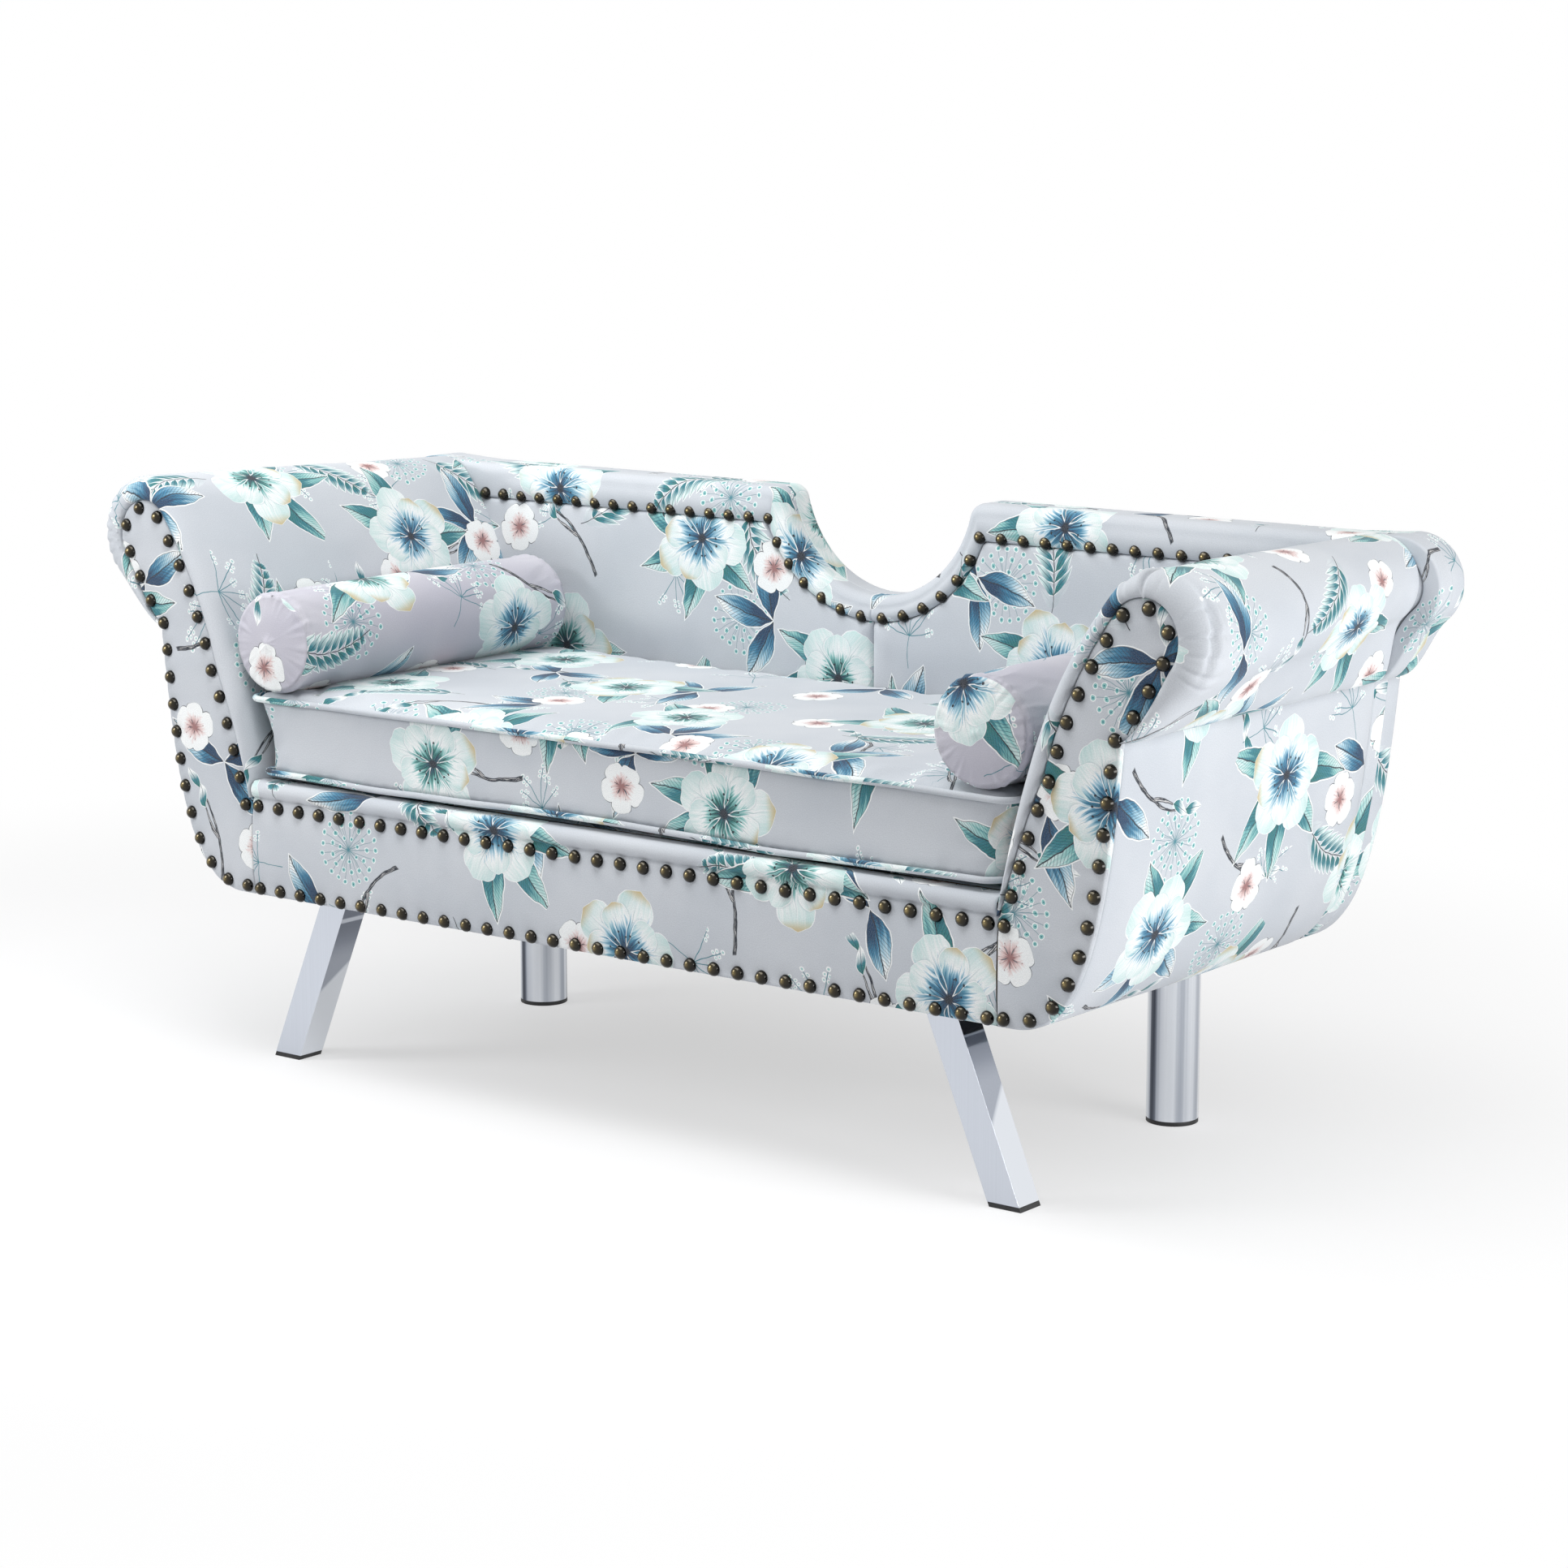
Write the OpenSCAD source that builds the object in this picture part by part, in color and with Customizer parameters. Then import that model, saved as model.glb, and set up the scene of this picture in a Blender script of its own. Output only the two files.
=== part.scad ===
/* [Overall] */
// Depth from the front nail heads to the outside back
overall_d = 585; // [540:5:680]
// Length of the front rail between the two arm fronts
rail_len = 1082; // [960:10:1400]
// Height of the underside above the floor
body_z = 208; // [170:1:250]
// Height of the seat deck above the floor
deck_z = 346; // [320:1:380]

/* [Arms] */
// How far the neck under the scroll stands outside the rail end
neck_out = 149; // [120:1:180]
// Rise of the neck above the deck
neck_rise = 175; // [150:1:200]
// How far the scroll's centre stands outside the rail end at the front
roll_out = 181; // [165:1:200]
// Rise of the scroll's centre above the deck at the front
roll_rise = 282; // [270:1:310]
// Radius of the scroll at the front
roll_r = 70; // [62:1:78]
// How far the scroll's centre stands outside the rail end at the rear
rear_roll_out = 149; // [140:1:170]
// Rise of the scroll's centre above the deck at the rear
rear_roll_rise = 288; // [275:1:305]
// Radius of the scroll at the rear
rear_roll_r = 51; // [46:1:58]
// Angle of the inner face above the horizontal at the deck
arm_lean = 82; // [78:1:86]
// Width of the padded roll round the arm front
edge_w = 26; // [20:1:30]
// Foam thickness on the arm's inner face and scroll
arm_foam_t = 25; // [18:1:30]
// Thickness of the padded outside arm panel
side_pad_t = 8; // [6:1:12]
// Thickness of the upholstered front panel
panel_t = 6; // [4:1:8]

/* [Back] */
// Thickness of the back
back_t = 65; // [60:1:80]
// Rise of the back's top edge above the deck
back_rise = 334; // [315:1:350]
// Radius of the notch in the back
notch_r = 142; // [120:1:170]
// Depth of the notch below the top edge
notch_depth = 122; // [100:1:135]
// Radius of the notch's shoulders
shoulder_r = 20; // [12:1:30]
// Radius of the scroll at the back's ends
back_roll_r = 55; // [50:1:60]
// How far the back's scroll centre stands outside the rail end
back_roll_out = 170; // [160:1:180]
// Rise of the back's scroll centre above the deck
back_roll_rise = 283; // [275:1:290]
// Height of the border above the top row of nails
border_top = 39; // [32:1:44]
// Width of the border outside the notch's row of nails
border_notch = 26; // [22:1:30]
// Rounding of the back's front and rear edges
back_edge_r = 14; // [8:1:18]
// Thickness of the inside back's foam
back_foam_t = 25; // [20:1:28]

/* [Seat cushion and bolsters] */
// Height of the seat cushion at its edge
cushion_h = 102; // [80:1:120]
// Rise of the crown at the middle of the cushion
crown = 10; // [4:1:20]
// How far the cushion's long sides draw in between the corners
draw_in = 5; // [0:1:10]
// Diameter of the piping
pipe_d = 9; // [6:1:11]
// Lean of the cushion's ends, from the bottom edge to the top edge
end_lean = 19; // [10:1:22]
// Diameter of the bolsters
bolster_d = 120; // [100:1:126]
// Room between the bolsters' rear ends and the back
bolster_gap = 29.5; // [4:0.5:90]
// Height of the bolsters' domed ends
bolster_dome = 10; // [4:1:20]
// Distance from a bolster's axis to the arm's face at the top of the cushion
bolster_in = 45; // [42:1:70]

/* [Legs] */
// Side of the square front leg tube
front_leg_w = 38; // [30:1:44]
// Sideways lean of the front legs
leg_lean = 22.6; // [10:0.1:26]
// Distance from the foot's centre to the rail end, front legs
front_leg_in = 12; // [0:1:40]
// Distance from the foot's centre to the front face, front legs
front_leg_y = 56; // [54:1:66]
// Diameter of the round rear legs
rear_leg_d = 60; // [48:1:64]
// Distance from a rear leg's axis to the rail end
rear_leg_in = 65; // [60:1:90]
// Distance from a rear leg's axis to the outside back
rear_leg_y = 127.5; // [125:0.5:150]
// Wall of the leg tubes
tube_wall = 1.5; // [1:0.1:3]
// Height of the plastic foot caps
cap_h = 5; // [3:0.5:8]

/* [Nails and fasteners] */
// Diameter of the nail heads
nail_d = 16; // [12:0.5:18]
// Height of the nail heads
nail_h = 6.5; // [4:0.5:7]
// Spacing of the nails
nail_pitch = 33; // [24:1:40]
// Diameter of the bolts that hold the arms
bolt_d = 8; // [6:1:10]
// Diameter of the leg screws
screw_d = 5; // [4:0.5:6]

/* [Timber and springs] */
// Thickness of the profile boards
board_t = 18; // [15:1:21]
// Thickness of the rails
rail_t = 22; // [18:1:25]
// Height of the seat rails
rail_h = 106; // [90:1:106]
// Wire size of the zigzag springs
wire_d = 3.6; // [3:0.1:5]
// Width of a zigzag spring
spring_w = 46; // [40:1:56]
// Distance between the bars of a zigzag spring
spring_pitch = 32; // [24:1:40]
// Distance between neighbouring springs
spring_gap = 130; // [110:1:160]

/* [Hidden] */

$fn = 48;

// Thin cloth, the gap between pieces that only touch, and the overrun of every cut
cloth_t = 2;
gap = 0.3;
over = 5;

// Places along the depth, from the plane of the arm fronts
front_y = -overall_d / 2 + nail_h;
rear_y = overall_d / 2;
back_y = rear_y - back_t;
arm_end_y = back_y - gap;
half = rail_len / 2;
top_z = deck_z + back_rise;
notch_z = top_z - notch_depth + notch_r;
neck = [half + neck_out, deck_z + neck_rise];

// Scroll values: sideways place, rise and radius, at the front, the rear and the back's ends
front_roll = [roll_out, roll_rise, roll_r];
rear_roll = [rear_roll_out, rear_roll_rise, rear_roll_r];
back_roll = [back_roll_out, back_roll_rise, back_roll_r];
roll_start = 142;
roll_end = -50;
// Lengths of the handles that shape the arm's curves
inner_pull = 150;
roll_pull = 110;
under_pull = 24;
// Places of the outside panel's handles, as shares of the neck's reach and height
side_shares = [-0.12, -0.61, 0.73, 0.13];
// The front roll is wider on the scroll's outer side, and thins out at the deck
head_shift = 10;
tip_share = 0.2;
tip_run_share = 0.35;
n_in = 12;
n_roll = 20;
n_under = 4;
n_side = 12;
n_notch = 10;
n_shoulder = 5;

// Points on a cubic curve through four control points
function bez(p, t) = p[0] * pow(1 - t, 3) + 3 * p[1] * t * pow(1 - t, 2)
    + 3 * p[2] * t * t * (1 - t) + p[3] * pow(t, 3);
function flip(p) = [for (i = [len(p) - 1:-1:0]) p[i]];
function left_of(p) = [for (q = p) [-q[0], q[1]]];
function roll_c(q) = [half + q[0], deck_z + q[1]];
function roll_at(q, a) = roll_c(q) + q[2] * [cos(a), sin(a)];
function inner_handles(q) = let (e = roll_at(q, roll_start)) [
    [half, deck_z], [half, deck_z] + inner_pull * [cos(arm_lean), sin(arm_lean)],
    e - roll_pull * [sin(roll_start), -cos(roll_start)], e];
function under_handles(q) = let (b = roll_at(q, roll_end)) [
    b, b + under_pull * [sin(roll_end), -cos(roll_end)], neck + [under_pull, 0], neck];
side_handles = [neck,
    neck + [side_shares[0] * neck_out, side_shares[1] * (neck[1] - body_z)],
    [half + side_shares[2] * neck_out, body_z], [half + side_shares[3] * neck_out, body_z]];
function roll_angle(i) = roll_start + (roll_end - roll_start) * i / n_roll;
// Section of the arm from the deck over the scroll to the neck
function arm_curve(q) = concat(
    [for (i = [0:n_in - 1]) bez(inner_handles(q), i / n_in)],
    [for (i = [0:n_roll - 1]) roll_at(q, roll_angle(i))],
    [for (i = [0:n_under]) bez(under_handles(q), i / n_under)]);
side_curve = [for (i = [0:n_side]) bez(side_handles, i / n_side)];
function head_edge(a) = edge_w + head_shift * cos(a);
// Width of the rolled front edge at each point of the arm's section
edge_in = concat(
    [for (i = [0:n_in - 1]) let (t = i / n_in)
        (edge_w + (head_edge(roll_start) - edge_w) * t)
        * min(1, tip_share + t * (1 - tip_share) / tip_run_share)],
    [for (i = [0:n_roll - 1]) head_edge(roll_angle(i))],
    [for (i = [0:n_under]) head_edge(roll_end) * (1 - i / n_under)]);

// A line of points moved inward, by one distance or by one for each point
function normals(p) = [for (i = [0:len(p) - 1])
    let (d = p[min(i + 1, len(p) - 1)] - p[max(i - 1, 0)]) [d[1], -d[0]] / norm(d)];
function inset(p, d) = let (n = normals(p)) [for (i = [0:len(p) - 1]) p[i] + n[i] * (is_list(d) ? d[i] : d)];
function strip(p, outer, inner) = concat(inset(p, outer), flip(inset(p, inner)));
function first(p, n) = [for (i = [0:n - 1]) p[i]];

// Place at a distance along a line of points
function lengths(p) = [
    for (i = 0, s = 0; i < len(p); i = i + 1, s = s + (i < len(p) ? norm(p[i] - p[i - 1]) : 0)) s];
function along(p, l, s, i = 0) = i >= len(p) - 2 || l[i + 1] >= s
    ? p[i] + (p[i + 1] - p[i]) * (s - l[i]) / (l[i + 1] - l[i]) : along(p, l, s, i + 1);

// A solid through strips of equal length, each at its own depth
// A strip is a line of points and its way back
module loft(rings) {
    n = len(rings[0][1]);
    m = len(rings);
    points = [for (r = rings) for (p = r[1]) [p[0], r[0], p[1]]];
    sides = [for (j = [0:m - 2]) for (i = [0:n - 1]) let (k = (i + 1) % n, a = j * n, b = a + n)
        each i < n / 2 ? [[a + i, b + i, b + k], [a + i, b + k, a + k]]
            : [[a + i, b + i, a + k], [b + i, b + k, a + k]]];
    z = (m - 1) * n;
    caps = [for (i = [0:n / 2 - 2]) let (k = n - 1 - i)
        each [[i, i + 1, k - 1], [i, k - 1, k], [z + i, z + k - 1, z + i + 1], [z + i, z + k, z + k - 1]]];
    polyhedron(points, concat(sides, caps));
}
// A flat plate with its outline in X and Z, from depth y0 to y1
module plate(points, y0, y1) {
    translate([0, y1, 0]) rotate([90, 0, 0]) linear_extrude(y1 - y0) polygon(points);
}
module box(lo, hi) { translate(lo) cube(hi - lo); }
module left() { mirror([1, 0, 0]) children(); }
module both() { children(); left() children(); }

// Arm timber
timber = "burlywood";
foam = "khaki";
cloth = [0.79, 0.81, 0.86];
steel = "silver";
board_side = side_pad_t + gap;
lip_drop = 20;
// Outline of a profile board, inside the padding of the section that it carries
function board_outline(q, edges) = concat(
    [[half + 2 * gap, body_z + board_side], [half + 2 * gap, deck_z - lip_drop]],
    first(inset(arm_curve(q), edges), n_in + n_roll + n_under / 2 + 1), inset(side_curve, board_side));
front_board_in = [for (e = edge_in) e + cloth_t + 2 * gap];
board_y = front_y + panel_t + gap;
slat_y0 = board_y + board_t + gap;
slat_y1 = arm_end_y - board_t - gap;
module arm_front_board() {
    color(timber) plate(board_outline(front_roll, front_board_in), board_y, board_y + board_t);
}
module arm_rear_board() {
    outline = board_outline(rear_roll, arm_foam_t + cloth_t + 2 * gap);
    color(timber) plate(outline, arm_end_y - board_t, arm_end_y);
}
slat_h = 40;
low_slat_z = body_z + slat_h / 2;
bolt_z = low_slat_z + slat_h / 2;
hole_play = 1;
bolt_hole_d = bolt_d + hole_play;
module bolt_holes() {
    for (y = bolt_y) translate([half - rail_t - over, y, bolt_z]) rotate([0, 90, 0])
        cylinder(d = bolt_hole_d, h = 2 * rail_t + 2 * over);
}
// The slats tie the front profile board to the rear one
slat_t = 19;
slat_play = 4.5;
roll_slat_share = 0.3;
module arm_slats() {
    inner_x = half + arm_foam_t + cloth_t + gap + slat_play;
    neck_x = neck[0] - board_side - slat_play;
    roll_x = half + rear_roll_out + slat_t * (1 - roll_slat_share);
    roll_z = deck_z + (roll_rise + rear_roll_rise) / 2;
    color(timber) {
        difference() {
            box([half + 2 * gap, slat_y0, low_slat_z], [half + rail_t, slat_y1, low_slat_z + slat_h]);
            bolt_holes();
        }
        box([inner_x + slat_play, slat_y0, deck_z],
            [inner_x + slat_play + slat_t, slat_y1, deck_z + slat_h]);
        box([neck_x - slat_play - slat_t, slat_y0, neck[1] - slat_h],
            [neck_x - slat_play, slat_y1, neck[1]]);
        box([roll_x - slat_t, slat_y0, roll_z - slat_h / 3], [roll_x, slat_y1, roll_z + slat_h / 3]);
    }
}

// Arm padding and cloth: the front edge is a quarter round, and the scroll tapers to the rear
edge_steps = [0, 30, 60, 90];
function edge_y(a) = front_y + edge_w * (1 - cos(a));
function turned(a, d) = [for (e = edge_in) e * (1 - sin(a)) + d];
module arm_cover() {
    curve = arm_curve(front_roll);
    rings = concat(
        [for (a = edge_steps) [edge_y(a), strip(curve, turned(a, 0), turned(a, cloth_t))]],
        [[arm_end_y, strip(arm_curve(rear_roll), 0, cloth_t)]]);
    color(cloth) loft(rings);
}
module arm_foam() {
    skin = cloth_t + gap;
    n = n_in + n_roll + n_under / 2;
    edges = [for (e = first(edge_in, n)) e + cloth_t];
    curve = first(arm_curve(front_roll), n);
    rear = first(arm_curve(rear_roll), n);
    rings = concat(
        [for (a = [30, 60, 90]) [edge_y(a), strip(curve, first(turned(a, skin), n), edges)]],
        [[edge_y(90) + gap, strip(curve, skin, arm_foam_t + cloth_t)],
            [arm_end_y, strip(rear, skin, arm_foam_t + cloth_t)]]);
    color(foam) loft(rings);
}
// The outside panel's end by the neck stands clear of the scroll's cloth
module arm_side_panel() {
    down = concat([side_curve[0] - [0, gap]], [for (i = [1:n_side]) side_curve[i]],
        [[half + 2 * gap, body_z]]);
    color(cloth) plate(strip(down, 0, side_pad_t), front_y + panel_t + gap, arm_end_y);
}

// Front panel of the arm, and the nails along its edge
panel_in = [for (e = edge_in) e + cloth_t + gap];
panel_outline = concat([[half, body_z], [half, deck_z - lip_drop]],
    inset(arm_curve(front_roll), panel_in), side_curve);
module arm_front_panel() { color(cloth) plate(panel_outline, front_y, front_y + panel_t); }
nail_margin = 1.5;
nail_in = nail_d / 2 + nail_margin;
shank_d = 2.4;
shank_l = 15;
dome_r = (nail_d * nail_d / 4 + nail_h * nail_h) / (2 * nail_h);
// A domed nail whose head stands forward of a face at depth y
module nail(x, y, z) {
    translate([x, y, z]) rotate([90, 0, 0]) rotate_extrude() union() {
        intersection() {
            translate([0, nail_h - dome_r]) circle(dome_r);
            square([nail_d / 2, nail_h]);
        }
        translate([0, -shank_l]) square([shank_d / 2, shank_l + nail_h / 2]);
    }
}
nail_line = concat([[half + nail_in, deck_z - lip_drop - nail_in]],
    [for (p = first(inset(arm_curve(front_roll), [for (e = panel_in) e + nail_in]), n_in + n_roll + n_under))
        if (p[1] > deck_z) p],
    inset(side_curve, nail_in), [[half + nail_in, body_z + nail_in]]);
module arm_nails() {
    l = lengths(nail_line);
    total = l[len(l) - 1];
    n = round(total / nail_pitch);
    color("darkolivegreen") for (i = [0:n]) let (p = along(nail_line, l, total * i / n))
        nail(p[0], front_y, p[1]);
}

// Outline of the back, from the middle of the notch to the right-hand foot of the outside panel
shoulder_x = sqrt(pow(notch_r + shoulder_r, 2) - pow(notch_z - top_z + shoulder_r, 2));
shoulder_a = atan2(top_z - shoulder_r - notch_z, shoulder_x);
notch_angles = [for (i = [0:n_notch]) -90 + (90 + shoulder_a) * i / n_notch];
shoulder_angles = [for (i = [1:n_shoulder]) 180 + shoulder_a - (90 + shoulder_a) * i / n_shoulder];
back_roll_start = 100;
top_reach_share = 1.3;
top_end = [half + back_roll_out - top_reach_share * back_roll_r, top_z];
back_scroll = concat(
    [for (i = [0:n_roll - 1])
        roll_at(back_roll, back_roll_start + (roll_end - back_roll_start) * i / n_roll)],
    [for (i = [0:n_under - 1]) bez(under_handles(back_roll), i / n_under)], side_curve);
right_outline = concat(
    [for (a = notch_angles) [0, notch_z] + notch_r * [cos(a), sin(a)]],
    [for (a = shoulder_angles) [shoulder_x, top_z - shoulder_r] + shoulder_r * [cos(a), sin(a)]],
    [top_end], back_scroll);
// The border's inner line runs just inside its nails
nail_cover = nail_in / 2;
inner_notch_r = notch_r + border_notch + nail_cover;
inner_top_z = top_z - border_top - nail_cover;
inner_corner_r = 4;
inner_drop = notch_z - inner_top_z + inner_corner_r;
inner_corner = [sqrt(pow(inner_notch_r, 2) - pow(inner_drop, 2)) + inner_corner_r,
    inner_top_z - inner_corner_r];
inner_notch_a = 180 - acos(-inner_drop / inner_notch_r);
end_border = 22;
last_nail_reach = 81;
last_nail_x = half + last_nail_reach;
right_inner = concat(
    [for (i = [0:n_notch]) let (a = -90 + inner_notch_a * i / n_notch)
        [0, notch_z] + inner_notch_r * [cos(a), sin(a)]],
    [for (a = shoulder_angles) inner_corner + inner_corner_r * [cos(a), sin(a)]],
    [[last_nail_x + nail_d / 2, inner_top_z]], inset(back_scroll, end_border));
function mirrored(p) = concat(flip(left_of([for (i = [1:len(p) - 1]) p[i]])), p);
back_outline = mirrored(right_outline);
back_inner = mirrored(right_inner);
// The same outline carried along the underside, to a fine slit at the middle
rim_outline = mirrored(concat(right_outline, [[gap / 2, body_z]]));
board0_y = back_y + cloth_t + back_foam_t + 2 * gap;
function back_edge(a) = back_edge_r * (1 - sin(a));
function back_edge_d(a) = back_edge_r * (1 - cos(a));
border_t = 8;
border_a = acos(1 - border_t / back_edge_r);
border_step_a = 1.5;
// Padded border round the front edge of the back: a flange in front and a wall round the nailing frame
module back_border() {
    inner = flip(back_inner);
    wall = flip(inset(back_outline, border_t));
    rings = concat(
        [for (a = [0, border_a / 2, border_a])
            [back_y + back_edge_d(a), concat(inset(back_outline, back_edge(a)), inner)]],
        [for (a = [border_a + border_step_a, 90])
            [back_y + back_edge_d(a), concat(inset(back_outline, back_edge(a)), wall)]],
        [[board0_y - gap, concat(back_outline, wall)]]);
    color(cloth) loft(rings);
}
// Timber frame that takes the nails, inside the border
module back_nail_frame() {
    color(timber) plate(concat(inset(back_outline, border_t + gap), flip(back_inner)),
        back_y + back_edge_d(border_a + border_step_a) + gap, board0_y);
}
// Cloth round the rim behind the border, rounded over to the outside back
module back_rim_cover() {
    rings = concat([[board0_y, strip(rim_outline, 0, cloth_t)]],
        [for (a = [90, 60, 30, 0])
            [rear_y - back_edge_d(a), strip(rim_outline, back_edge(a), back_edge(a) + cloth_t)]]);
    color(cloth) loft(rings);
}
module back_outside_cover() {
    color(cloth) plate(inset(rim_outline, back_edge_r + cloth_t + gap), rear_y - cloth_t, rear_y);
}
module back_board() {
    color(timber) plate(inset(rim_outline, cloth_t + gap), board0_y + gap, board0_y + board_t);
}
module inner_back(x0, x1, y0, y1) {
    translate([0, y1, 0]) rotate([90, 0, 0]) linear_extrude(y1 - y0) intersection() {
        polygon(inset(back_inner, gap));
        translate([x0, deck_z + gap]) square([x1 - x0, back_rise]);
    }
}
reach = half + neck_out;
module back_foam() { color(foam) inner_back(-reach, reach, back_y + cloth_t + gap, board0_y); }
module back_cover_right() { color(cloth) inner_back(gap, reach, back_y, back_y + cloth_t); }
module back_cover_left() { color(cloth) inner_back(-reach, -gap, back_y, back_y + cloth_t); }
batten_y0 = board0_y + board_t + gap;
batten_y1 = rear_y - cloth_t - gap;
post_w = 40;
batten_h = 44;
low_z = body_z + 2 * cloth_t;
module back_posts() {
    color(timber) {
        post_z = body_z + back_edge_r;
        both() box([half - post_w / 2, batten_y0, post_z], [half + post_w / 2, batten_y1, top_z - post_w]);
        box([-post_w / 2, batten_y0, post_z], [post_w / 2, batten_y1, top_z - notch_depth - post_w / 2]);
    }
}
module back_top_battens() {
    color(timber) both() box([shoulder_x + post_w / 2, batten_y0, top_z - post_w / 2 - batten_h],
        [half - post_w / 2 - gap, batten_y1, top_z - post_w / 2]);
}
module back_bottom_rail() {
    color(timber) box([-half + gap, back_y - cloth_t, low_z], [half - gap, board0_y, deck_z - gap]);
}
// Nails along the border: round the notch, then level to the arms
notch_nail_r = notch_r + border_notch;
top_nail_z = top_z - border_top;
notch_nail_a = acos((notch_z - top_nail_z) / notch_nail_r);
notch_nail_n = round(notch_nail_r * notch_nail_a * PI / 180 / nail_pitch + 0.5) - 0.5;
row_share = 0.94;
module back_nails() {
    step = notch_nail_a / notch_nail_n;
    x0 = notch_nail_r * sin(notch_nail_a);
    n = round((last_nail_x - x0) / (nail_pitch * row_share));
    color("darkolivegreen") both() {
        for (i = [0:notch_nail_n]) let (a = step * (i + 0.5))
            nail(notch_nail_r * sin(a), back_y, notch_z - notch_nail_r * cos(a));
        for (i = [1:n]) nail(x0 + (last_nail_x - x0) * i / n, back_y, top_nail_z);
    }
}

// Seat frame
rail_pad_t = 6;
rail_y0 = front_y + cloth_t + rail_pad_t;
rail_y1 = rail_y0 + rail_t;
rear_rail_y1 = back_y - cloth_t - gap;
rear_rail_y0 = rear_rail_y1 - rail_t;
rail_top = low_z + rail_h;
rail_x = half - gap;
module front_rail() { color(timber) box([-rail_x, rail_y0, low_z], [rail_x, rail_y1, rail_top]); }
module rear_rail() { color(timber) box([-rail_x, rear_rail_y0, low_z], [rail_x, rear_rail_y1, rail_top]); }
plate_t = 4;
block_z0 = low_z + plate_t;
module side_rail() {
    color(timber) difference() {
        box([rail_x - rail_t, rail_y1 + gap, block_z0], [rail_x, rear_rail_y0 - gap, rail_top]);
        bolt_holes();
    }
}
module centre_stretcher() {
    color(timber) box([-rail_t / 2, rail_y1 + gap, block_z0],
        [rail_t / 2, rear_rail_y0 - gap, rail_top - post_w / 2]);
}
// Blocks that carry the legs, against the rails
block = [92, 76, 40];
front_block = [half - front_leg_in - body_z * tan(leg_lean) - block[0] / 2, rail_y1 + gap, block_z0];
rear_block = [rail_x - rail_t - gap - block[0], rear_rail_y0 - gap - block[1], block_z0];
// The arm bolts stand clear of the leg blocks in front and behind
bolt_clear = 15;
bolt_y = [front_block[1] + block[1] + bolt_clear, rear_block[1] - bolt_clear];
module leg_blocks() {
    color(timber) both() for (lo = [front_block, rear_block]) box(lo, lo + block);
}

// Zigzag springs from the front rail to the rear rail
spring_y0 = rail_y0 + rail_t / 2;
spring_run = rear_rail_y0 + rail_t / 2 - spring_y0;
spring_n = 2 * floor(spring_run / spring_pitch / 2);
spring_step = spring_run / spring_n;
spring_row = floor((half - rail_t - spring_gap / 2 - spring_w) / spring_gap);
module zigzag() {
    bend_r = spring_step / 2;
    for (i = [0:spring_n])
        translate([-spring_w / 2, i * spring_step - wire_d / 2]) square([spring_w, wire_d]);
    for (i = [0:spring_n - 1]) let (s = i % 2 == 0 ? 1 : -1)
        translate([s * spring_w / 2, (i + 0.5) * spring_step]) intersection() {
            difference() {
                circle(bend_r + wire_d / 2);
                circle(bend_r - wire_d / 2);
            }
            translate([s > 0 ? 0 : -spring_w, -spring_step]) square([spring_w, 2 * spring_step]);
        }
}
spring_x = [for (i = [0:spring_row]) (i + 0.5) * spring_gap];
module seat_springs() {
    color(steel) for (x = spring_x) both()
        translate([x, spring_y0, rail_top]) linear_extrude(wire_d) zigzag();
}
clip_w = 14;
clip_t = 1.2;
// Each clip folds over the spring's end bar
module spring_clips() {
    wire_top = rail_top + wire_d + gap;
    color(steel) for (x = spring_x) both() for (y = [spring_y0, spring_y0 + spring_run])
        difference() {
            box([x - clip_w / 2, y - clip_w / 2, rail_top],
                [x + clip_w / 2, y + clip_w / 2, wire_top + clip_t]);
            box([x - clip_w, y - wire_d / 2 - gap, rail_top - over],
                [x + clip_w, y + wire_d / 2 + gap, wire_top]);
        }
}
pad_z0 = rail_top + wire_d + 2 * gap + clip_t;
lip_r = 11;
lip_forward = 3;
lip_back = rail_y1 - front_y;
module deck_pad() {
    color(foam) box([-rail_x, rail_y1 + 2 * gap, pad_z0], [rail_x, rear_rail_y1, deck_z]);
}
// Front rail padding: a flat face with a rolled lip along its top
module rail_section(d) {
    union() {
        translate([d, body_z]) square([lip_back - d, deck_z - body_z - lip_r]);
        translate([lip_r - lip_forward, deck_z - lip_r]) circle(lip_r - d);
        translate([lip_r - lip_forward, deck_z - 2 * lip_r + d])
            square([lip_back - lip_r + lip_forward, 2 * lip_r - 2 * d]);
    }
}
module along_rail() {
    translate([-rail_x, front_y, 0]) rotate([90, 0, 90]) linear_extrude(2 * rail_x) children();
}
module rail_foam() {
    color(foam) along_rail() difference() {
        rail_section(cloth_t + gap);
        translate([rail_y0 - front_y - gap, body_z - over]) square([2 * lip_back, pad_z0 - body_z + over]);
    }
}
module rail_cover() {
    color(cloth) along_rail() difference() {
        rail_section(0);
        rail_section(cloth_t);
        translate([cloth_t, body_z - over]) square([2 * lip_back, deck_z - body_z - 2 * lip_r]);
    }
}
module rail_nails() {
    n = round((rail_len - nail_pitch) / nail_pitch);
    end = half - nail_in - nail_margin;
    color("darkolivegreen") for (z = [body_z + nail_d / 2, deck_z - 2 * lip_r - nail_in + cloth_t])
        for (i = [0:n]) nail(-end + 2 * end * i / n, front_y, z);
}
// The dust cover is cut out round the leg plates
module dust_cover() {
    z = low_z - gap - cloth_t / 2;
    color("dimgray") difference() {
        box([-rail_x, rail_y0, z], [rail_x, board0_y - gap, z + cloth_t / 2]);
        both() for (lo = [front_block, rear_block])
            box([lo[0] - gap, lo[1] - gap, z - over],
                [lo[0] + block[0] + gap, lo[1] + block[1] + gap, z + over]);
    }
}

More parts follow.
